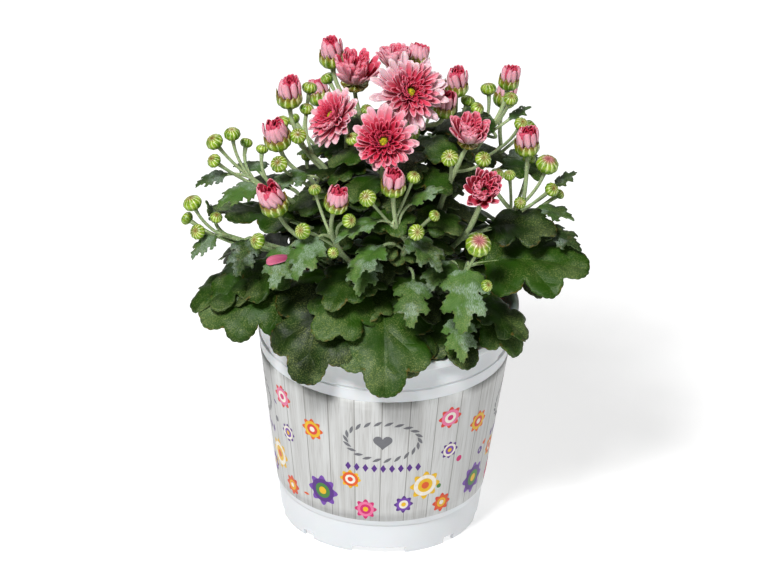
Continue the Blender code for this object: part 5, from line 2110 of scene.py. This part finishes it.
@dataclass
class ShootDress:
    """Everything green of one shoot: stalks, leaves, closed buds and cups."""

    shoot: Shoot
    seed: int
    finishes: dict
    shapes: dict
    growths: dict
    foliage: Foliage = field(default_factory=Foliage)
    hair_density: float = 1.1e6

    def stem_runs(self) -> list:
        """Axis, forks, head stalks and leaf stalks, each as points and radii.

        Returns:
            A pair of points and radii for each.
        """
        shoot = self.shoot
        top = len(shoot.axis) - 1
        thinning = [(1.0 - index / top) ** 1.6 for index in range(top + 1)]
        radii = [FORK_RADIUS + (ROOT_RADIUS - FORK_RADIUS) * share for share in thinning]
        runs = [smoothed(shoot.axis, radii, 6)]
        for fork in shoot.forks:
            runs.append(smoothed(fork, [FORK_RADIUS] * (len(fork) - 1) + [FORK_RADIUS * 0.85], 6))
        for head, start in shoot.head_nodes().items():
            place, facing = Vector(head.place), Vector(head.facing).normalized()
            handle = place - facing * (place - start).length * 0.5
            thick = CLOSED_STALK if head.kind is CLOSED else OPEN_STALK
            points = bezier(start, handle, place + facing * 0.6, 9)
            radii = [thick] * 7 + [thick * 1.15, thick * 1.5]
            runs.append((points, radii))
        return runs + [self.leaf_stalk(leaf) for leaf in shoot.leaves]

    def leaf_stalk(self, leaf: Leaf) -> tuple:
        """Stalk of a leaf, running on under the blade as its midrib.

        Args:
            leaf: The leaf.

        Returns:
            Points and radii.
        """
        foot, start = Vector(leaf.foot), self.shoot.leaf_node(leaf)
        ahead = (Vector(bent(leaf, np.array([[0.05, 0.0]]))[0]) - foot).normalized()
        points = bezier(start, foot - ahead * (foot - start).length * 0.5, foot, 8)
        thick = 1.0 if leaf.kind is OLD else 0.75
        radii = [thick * 1.15] + [thick] * 7
        shares = np.linspace(0.08, 0.82, 8)
        under = bent(leaf, np.column_stack([shares, shares * 0.0]), -0.35 / leaf.length)
        points += [Vector(place) for place in under]
        radii += [thick * 0.85 * (1.0 - share) + 0.12 for share in shares]
        return points, radii

    def build_stalks(self) -> None:
        """Build and show the stalks."""
        name = self.shoot.name
        curve = stalk_curve(name + "_curve", self.stem_runs())
        mesh = self.growths["stems"].apply(name + "_stalks", curve, Material=self.finishes["stem"].material)
        inputs = {"Hair": self.shapes["hair"], "Density": self.hair_density, "Seed": self.seed}
        silver = self.finishes["hair"].material
        hairs = self.growths["hairs"].apply(name + "_hairs", mesh.copy(), Material=silver, **inputs)
        piece(name + "_stalks", mesh, "green_leaf", name)
        piece(name + "_hairs", hairs, "green_leaf", name)

    def build_leaves(self) -> None:
        """Build and show the old and the young leaves."""
        draw = random.Random(self.seed)
        for age, label, finish in ((OLD, "_old_leaves", "old"), (YOUNG, "_young_leaves", "young")):
            draft = Draft()
            for leaf in self.shoot.leaves:
                if leaf.kind is age:
                    self.foliage.grow(draft, leaf, draw)
            if draft.count:
                mesh = draft.mesh(self.shoot.name + label, self.finishes[finish])
                piece(self.shoot.name + label, mesh, "green_leaf", self.shoot.name)

    def head_points(self, heads: list, sizes: list) -> bpy.types.Mesh:
        """Points at the heads, each with the direction it faces and its size.

        Args:
            heads: The heads.
            sizes: Scale of each.

        Returns:
            A mesh of loose points.
        """
        mesh = bpy.data.meshes.new("head_points")
        mesh.from_pydata([Vector(head.place) * MM for head in heads], [], [])
        for label, rows in (("facing", [head.facing for head in heads]), ("size", sizes)):
            attribute = mesh.attributes.new(label, "FLOAT_VECTOR", "POINT")
            attribute.data.foreach_set("vector", np.array([tuple(row) for row in rows], np.float32).ravel())
        blush = mesh.attributes.new("blush", "FLOAT", "POINT")
        ripe = [head.width > RIPE_WIDTH and head.kind is CLOSED for head in heads]
        blush.data.foreach_set("value", np.array(ripe, np.float32))
        return mesh

    def head_size(self, head: Head) -> Vector:
        """Scale of a bud, a cup or a bulb, whose own radius is one.

        Args:
            head: The head.

        Returns:
            The scale along each axis.
        """
        rim = {CLOSED: 0.5, OPENING: 0.5, BLOOM: 0.2, CUP: 0.26}[head.kind] * head.width
        heights = {CLOSED: rim, OPENING: BULB_HEIGHT * head.width}
        return Vector((rim, rim, heights.get(head.kind, CUP_HEIGHT))) * MM

    def build_heads(self) -> None:
        """Build and show the closed buds and the cups under the flowers."""
        coat = self.finishes["bud"].material
        for label, kinds in (("bud", (CLOSED,)), ("cup", (BLOOM, CUP)), ("bulb", (OPENING,))):
            heads = [head for head in self.shoot.heads if head.kind in kinds]
            if heads:
                name = f"{self.shoot.name}_{label}s"
                points = self.head_points(heads, [self.head_size(head) for head in heads])
                mesh = self.growths["heads"].apply(name, points, Head=self.shapes[label], Material=coat)
                piece(name, mesh, "green_leaf", self.shoot.name)

    def build(self) -> None:
        """Build everything green."""
        self.build_stalks()
        self.build_leaves()
        self.build_heads()


BLUSH = {
    "front_bloom": 0.1, "crown_bloom": -0.12, "top_left_bloom": 0.2, "right_bloom": 0.1,
    "lower_right_bloom": 0.12,
}


class Ring(NamedTuple):
    """A ring of petals: count, length, width, root radius and height, rise and curl in degrees, and tone."""

    count: int
    length: float
    width: float
    radius: float
    height: float
    rise: float
    curl: float
    tone: float


def strap_width(along: np.ndarray, width: float, foot: float, widest: float) -> np.ndarray:
    """Trace half the width of a strap petal, which is narrow at its foot and rounded at its tip.

    Args:
        along: Places along the petal, from 0 to 1.
        width: Its greatest width.
        foot: Width of its foot as a share of that.
        widest: Where it is first at its widest.

    Returns:
        Half its width at each place.
    """
    half = width / 2 * (foot + (1.0 - foot) * np.sin(np.minimum(along / widest, 1.0) * math.pi / 2))
    return half * np.sqrt(1.0 - np.clip((along - 0.8) / 0.22, 0.0, 1.0) ** 2)


def strap(draft: Draft, grid: list, along: Any, across: Any, thick: float, **values: float) -> None:
    """Add a strap petal as a thin blade.

    Args:
        draft: Where its faces go.
        grid: Its x, y and z, each as rows along the petal and columns across it.
        along: Places of the rows, from 0 to 1.
        across: Places of the columns, from 1 to -1.
        thick: Its thickness.
        values: A number for each named attribute.
    """
    rows, columns = len(along), len(across)
    uv = np.column_stack([np.repeat(along, columns), np.tile(across, rows)])
    loop = list(range(columns)) + [row * columns + columns - 1 for row in range(1, rows)]
    loop += [(rows - 1) * columns + column for column in range(columns - 2, -1, -1)]
    loop += [row * columns for row in range(rows - 2, 0, -1)]
    places = np.stack(grid, axis=2).reshape(-1, 3)
    draft.shell(places, grid_faces(rows, columns), loop, uv, thick, **values)


@dataclass
class Blossom:
    """The petals of one flower or opening bud, ring inside ring, with the disc of an open bloom."""

    head: Head
    seed: int
    finishes: dict
    growths: dict
    thickness: float = 0.28
    bud_jitter: float = 0.17
    bloom_jitter: float = 0.24
    lower_droop: float = 0.13
    florets: int = 58
    floret_radius: float = 0.34
    disc_dome: float = 0.8

    def root(self, height: float) -> float:
        """Radius at which petals root at a height over the cup."""
        low, high = CORE_RADII[self.head.kind.value]
        return low + (high - low) * height / CORE_HEIGHT - 0.2

    def rings(self) -> list:
        """Petal rings by the stage of the head.

        Returns:
            The rings from the outermost in.
        """
        width, reach = self.head.width, self.head.width / 2
        if self.head.kind is BLOOM:
            rows = [
                (17, reach - 3.3, 4.1, 0.5, 0, 24, 0.0),
                (17, (reach - 3.2) * 0.95, 3.6, 1.1, 11, 24, 0.12),
                (19, reach * 0.82 - 2.2, 2.9, 1.8, 25, 24, 0.36),
                (20, reach * 0.68 - 1.9, 2.4, 2.5, 38, 22, 0.58),
                (19, reach * 0.55 - 1.5, 2.1, 3.2, 50, 20, 0.78),
                (18, reach * 0.43 - 1.1, 1.7, 3.8, 61, 16, 0.9),
                (16, reach * 0.33 - 0.8, 1.4, 4.3, 71, 10, 1.0),
                (12, reach * 0.25 - 0.5, 1.2, 4.7, 80, 4, 1.0),
            ]
        elif self.head.kind is CUP:
            rows = [
                (15, reach * 1.14, 4.0, 0.5, 40, 40, 0.22),
                (15, reach * 1.10, 3.6, 1.2, 52, 36, 0.32),
                (15, reach * 1.00, 3.0, 2.0, 64, 28, 0.44),
                (14, reach * 0.86, 2.5, 2.9, 72, 20, 0.56),
                (13, reach * 0.68, 2.0, 3.7, 80, 12, 0.7),
                (10, reach * 0.50, 1.6, 4.3, 86, 6, 0.84),
            ]
        else:
            return [
                Ring(9, width * 0.80, width * 0.30, width * 0.39, 0.0, 72, 46, 0.42),
                Ring(9, width * 0.78, width * 0.24, width * 0.29, 0.1, 79, 34, 0.92),
                Ring(8, width * 0.68, width * 0.19, width * 0.18, 0.3, 85, 18, 1.0),
            ]
        return [Ring(*row[:3], self.root(row[3]), *row[3:]) for row in rows]

    def petal(self, ring: Ring) -> bpy.types.Mesh:
        """One strap petal, lying outwards along +X from its root.

        Args:
            ring: The ring that it belongs to.

        Returns:
            Its closed mesh.
        """
        along, across = np.linspace(0.0, 1.0, 9), np.linspace(1.0, -1.0, 5)
        rise, curl = math.radians(ring.rise), math.radians(ring.curl)
        forward, up = arc(ring.length, rise, curl, along)
        half = strap_width(along, ring.width, 0.42, 0.62)
        now = rise + curl * along
        channel = np.outer(half * (0.6 if ring.width > 3.0 else 0.95), across**2)
        x = forward[:, None] - channel * np.sin(now)[:, None]
        z = up[:, None] + channel * np.cos(now)[:, None]
        draft = Draft()
        strap(draft, [x, np.outer(half, across), z], along, across, self.thickness)
        return draft.mesh("petal")

    def build(self) -> None:
        """Build and show the petals and the disc."""
        head = self.head
        foot = (head.width * BULB_HEIGHT if head.kind is OPENING else CUP_HEIGHT) + GAP
        draw = random.Random(self.seed)
        meshes = []
        for number, ring in enumerate(self.rings()):
            mesh = self.growths["petals"].apply(
                "ring",
                bpy.data.meshes.new("guide"),
                Petal=self.petal(ring),
                Count=ring.count,
                Radius=ring.radius * MM,
                Turn=draw.uniform(0.0, 6.28),
                Jitter=self.bud_jitter if head.kind is OPENING else self.bloom_jitter,
                Tone=min(1.0, ring.tone + BLUSH.get(head.name, 0.0)),
                Droop=self.lower_droop if number < 2 and head.name == "front_bloom" else 0.0,
                Material=self.finishes["petal"].material,
            )
            mesh.transform(Matrix.Translation((0.0, 0.0, (foot + ring.height) * MM)))
            meshes.append(mesh)
        whole = joined(head.name + "_petals", meshes)
        whole.transform(frame_at(head.place, head.facing))
        whole.shade_smooth()
        piece(head.name + "_petals", whole, "pink_petal", head.name)
        if head.kind is BLOOM:
            self.build_disc(foot + CORE_HEIGHT)

    def build_disc(self, foot: float) -> None:
        """Build and show the disc of florets.

        Args:
            foot: Height of its foot over the head's place.
        """
        floret = bmesh.new()
        bmesh.ops.create_icosphere(floret, subdivisions=1, radius=self.floret_radius * MM)
        bmesh.ops.scale(floret, vec=(1.0, 1.0, 1.5), verts=floret.verts)
        disc = self.growths["disc"].apply(
            "disc",
            bpy.data.meshes.new("guide"),
            Floret=freed("floret", floret),
            Count=self.florets,
            Radius=DISC_RADIUS * MM,
            Dome=self.disc_dome * MM,
            Material=self.finishes["disc"].material,
        )
        raised = Matrix.Translation((0.0, 0.0, (foot + 0.5) * MM))
        disc.transform(frame_at(self.head.place, self.head.facing) @ raised)
        piece(self.head.name + "_florets", disc, "yellow_disc", self.head.name + "_disc")


@dataclass
class LoosePetal:
    """A dropped petal lying across a young leaf."""

    finish: Finish
    thickness: float = 0.3
    tone: float = 0.55

    def build(self) -> None:
        """Build and show the petal."""
        along, across = np.linspace(0.0, 1.0, 12), np.linspace(1.0, -1.0, 5)
        forward, up = arc(LOOSE_LENGTH, math.radians(LOOSE_RISE), math.radians(LOOSE_CURL), along)
        half = strap_width(along, LOOSE_WIDTH, 0.22, 0.7)
        y = np.outer(half, across)
        z = up[:, None] + np.outer(half * 0.18, across**2)
        x = np.broadcast_to(forward[:, None], y.shape)
        draft = Draft()
        strap(draft, [x, y, z], along, across, self.thickness, tone=self.tone)
        mesh = draft.mesh("loose_petal_blade", self.finish)
        heading = Matrix.Rotation(math.radians(LOOSE_HEADING), 4, "Z")
        roll = Matrix.Rotation(math.radians(LOOSE_ROLL), 4, "X")
        mesh.transform(Matrix.Translation(Vector(LOOSE_FOOT) * MM) @ heading @ roll)
        piece("loose_petal_blade", mesh, "pink_petal", "loose_petal")


@dataclass
class InnerLeaves:
    """More leaves deep between the stems and low over the rim, that close the plant's inside."""

    finish: Finish
    seed: int = 5
    count: int = 100
    spiral: float = 137.5
    lowest: float = 128.0
    highest: float = 206.0
    rim_leaves: tuple = (
        Leaf(OLD, (-44, -28, 134), -157, 4, 46, 49, -34),
        Leaf(OLD, (-9, -37, 141), -122, 2, 44, 40, -22),
        Leaf(OLD, (38, -30, 134), -36, -4, 60, 40),
        Leaf(OLD, (6, -38, 134), -78, -14, 50, 40),
    )

    def build(self) -> None:
        """Build and show the inner leaves."""
        draw = random.Random(self.seed)
        foliage = Foliage(spacing=2.4)
        draft = Draft()
        for leaf in self.rim_leaves:
            foliage.grow(draft, leaf, draw)
        for number in range(self.count):
            heading = number * self.spiral
            share = number / self.count
            up = self.lowest + (self.highest - self.lowest) * share
            reach = (44.0 - 20.0 * share) * math.sqrt(draw.uniform(0.05, 0.8))
            out = math.radians(heading)
            foot = (reach * math.cos(out), reach * math.sin(out) - 2.0, up)
            length = draw.uniform(22.0, 32.0)
            turn = heading + draw.uniform(-40.0, 40.0)
            rise, droop = draw.uniform(0, 25), draw.uniform(30, 60)
            foliage.grow(draft, Leaf(OLD, foot, turn, rise, droop, length, draw.uniform(-15, 15)), draw)
        piece("inner_leaves", draft.mesh("inner_leaves", self.finish), "green_leaf")


@dataclass
class Studio:
    """Camera, soft lights and a plain pale floor."""

    finish: Finish
    gamma: float = 0.88
    room_light: float = 0.11
    lights: tuple = (
        ("key", (-0.5, -1.05, 1.6), 0.4, 36.0),
        ("fill", (1.1, -0.9, 1.1), 0.8, 4.5),
        ("back", (-0.2, 1.2, 1.3), 0.8, 8.0),
    )

    def camera(self) -> None:
        """Set the camera: a long lens a little above, slightly rolled."""
        lens = bpy.data.cameras.new("camera")
        lens.sensor_width = 36.0
        lens.lens = 36.0 * CAMERA_DISTANCE / (IMAGE_WIDTH * PIXEL)
        lens.clip_end = 20.0
        thing = add_object("camera", lens)
        rise = math.radians(CAMERA_ELEVATION)
        back = Vector((0.0, -math.cos(rise), math.sin(rise)))
        turn = (-back).to_track_quat("-Z", "Y").to_matrix().to_4x4()
        aim = Vector((0.0, 0.0, AIM_HEIGHT * MM))
        roll = Matrix.Rotation(math.radians(CAMERA_ROLL), 4, "Z")
        thing.matrix_world = Matrix.Translation(aim + back * CAMERA_DISTANCE * MM) @ turn @ roll
        bpy.context.scene.camera = thing

    def light(self, name: str, place: tuple, size: float, power: float) -> None:
        """Add a soft area light aimed at the middle of the plant.

        Args:
            name: Its name.
            place: Where it stands, in metres.
            size: Its side in metres.
            power: Its power in watts.
        """
        lamp = bpy.data.lights.new(name, "AREA")
        lamp.size = size
        lamp.energy = power
        thing = add_object(name, lamp)
        thing.location = place
        thing.rotation_euler = (Vector((0.0, 0.0, 0.12)) - Vector(place)).to_track_quat("-Z", "Y").to_euler()

    def build(self) -> None:
        """Set up the whole studio."""
        self.camera()
        for row in self.lights:
            self.light(*row)
        view = bpy.context.scene.view_settings
        view.view_transform = "Standard"
        view.gamma = self.gamma
        world = bpy.data.worlds.new("room")
        world.use_nodes = True
        connect(world.node_tree.nodes["Background"], {"Color": "FFFFFF", "Strength": self.room_light})
        bpy.context.scene.world = world
        mesh = bpy.data.meshes.new("floor")
        mesh.from_pydata([(-4, -4, 0), (4, -4, 0), (4, 6, 0), (-4, 6, 0)], [], [(0, 1, 2, 3)])
        mesh.materials.append(self.finish.material)
        add_object("floor", mesh)


def build_plant() -> None:
    """Build the whole plant."""
    finishes = {
        "stem": StemSkin(),
        "hair": Hair(),
        "old": OldLeaf(),
        "young": YoungLeaf(),
        "bud": BudScale(),
        "petal": Petal(),
        "disc": DiscFloret(),
    }
    growths = {
        "stems": StemTubes(),
        "hairs": Hairs(),
        "heads": HeadSetter(),
        "petals": PetalRing(),
        "disc": FloretSpiral(),
    }
    PotShell().build(Polypropylene())
    label = Label()
    label.build_film(WashedPlanks())
    label.build_motifs(Ink())
    bed = PeatBed(SHOOTS)
    peat = PeatCrumb()
    bed.build_crumbs(peat, bed.build_bed(peat))
    heads = HeadShapes()
    shapes = {"bud": heads.bud(), "cup": heads.cup(), "bulb": heads.bulb(), "hair": hair_shape()}
    for number, shoot in enumerate(SHOOTS):
        ShootDress(shoot, number, finishes, shapes, growths).build()
        for rank, head in enumerate(shoot.heads):
            if head.kind is not CLOSED:
                Blossom(head, 20 * number + rank, finishes, growths).build()
    LoosePetal(WiltedPetal()).build()
    InnerLeaves(finishes["old"]).build()


def main() -> None:
    """Load the solids, dress them and set up the studio."""
    logging.basicConfig(level=logging.INFO)
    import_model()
    build_plant()
    Studio(PaleBoard()).build()


if __name__ == "__main__":
    main()
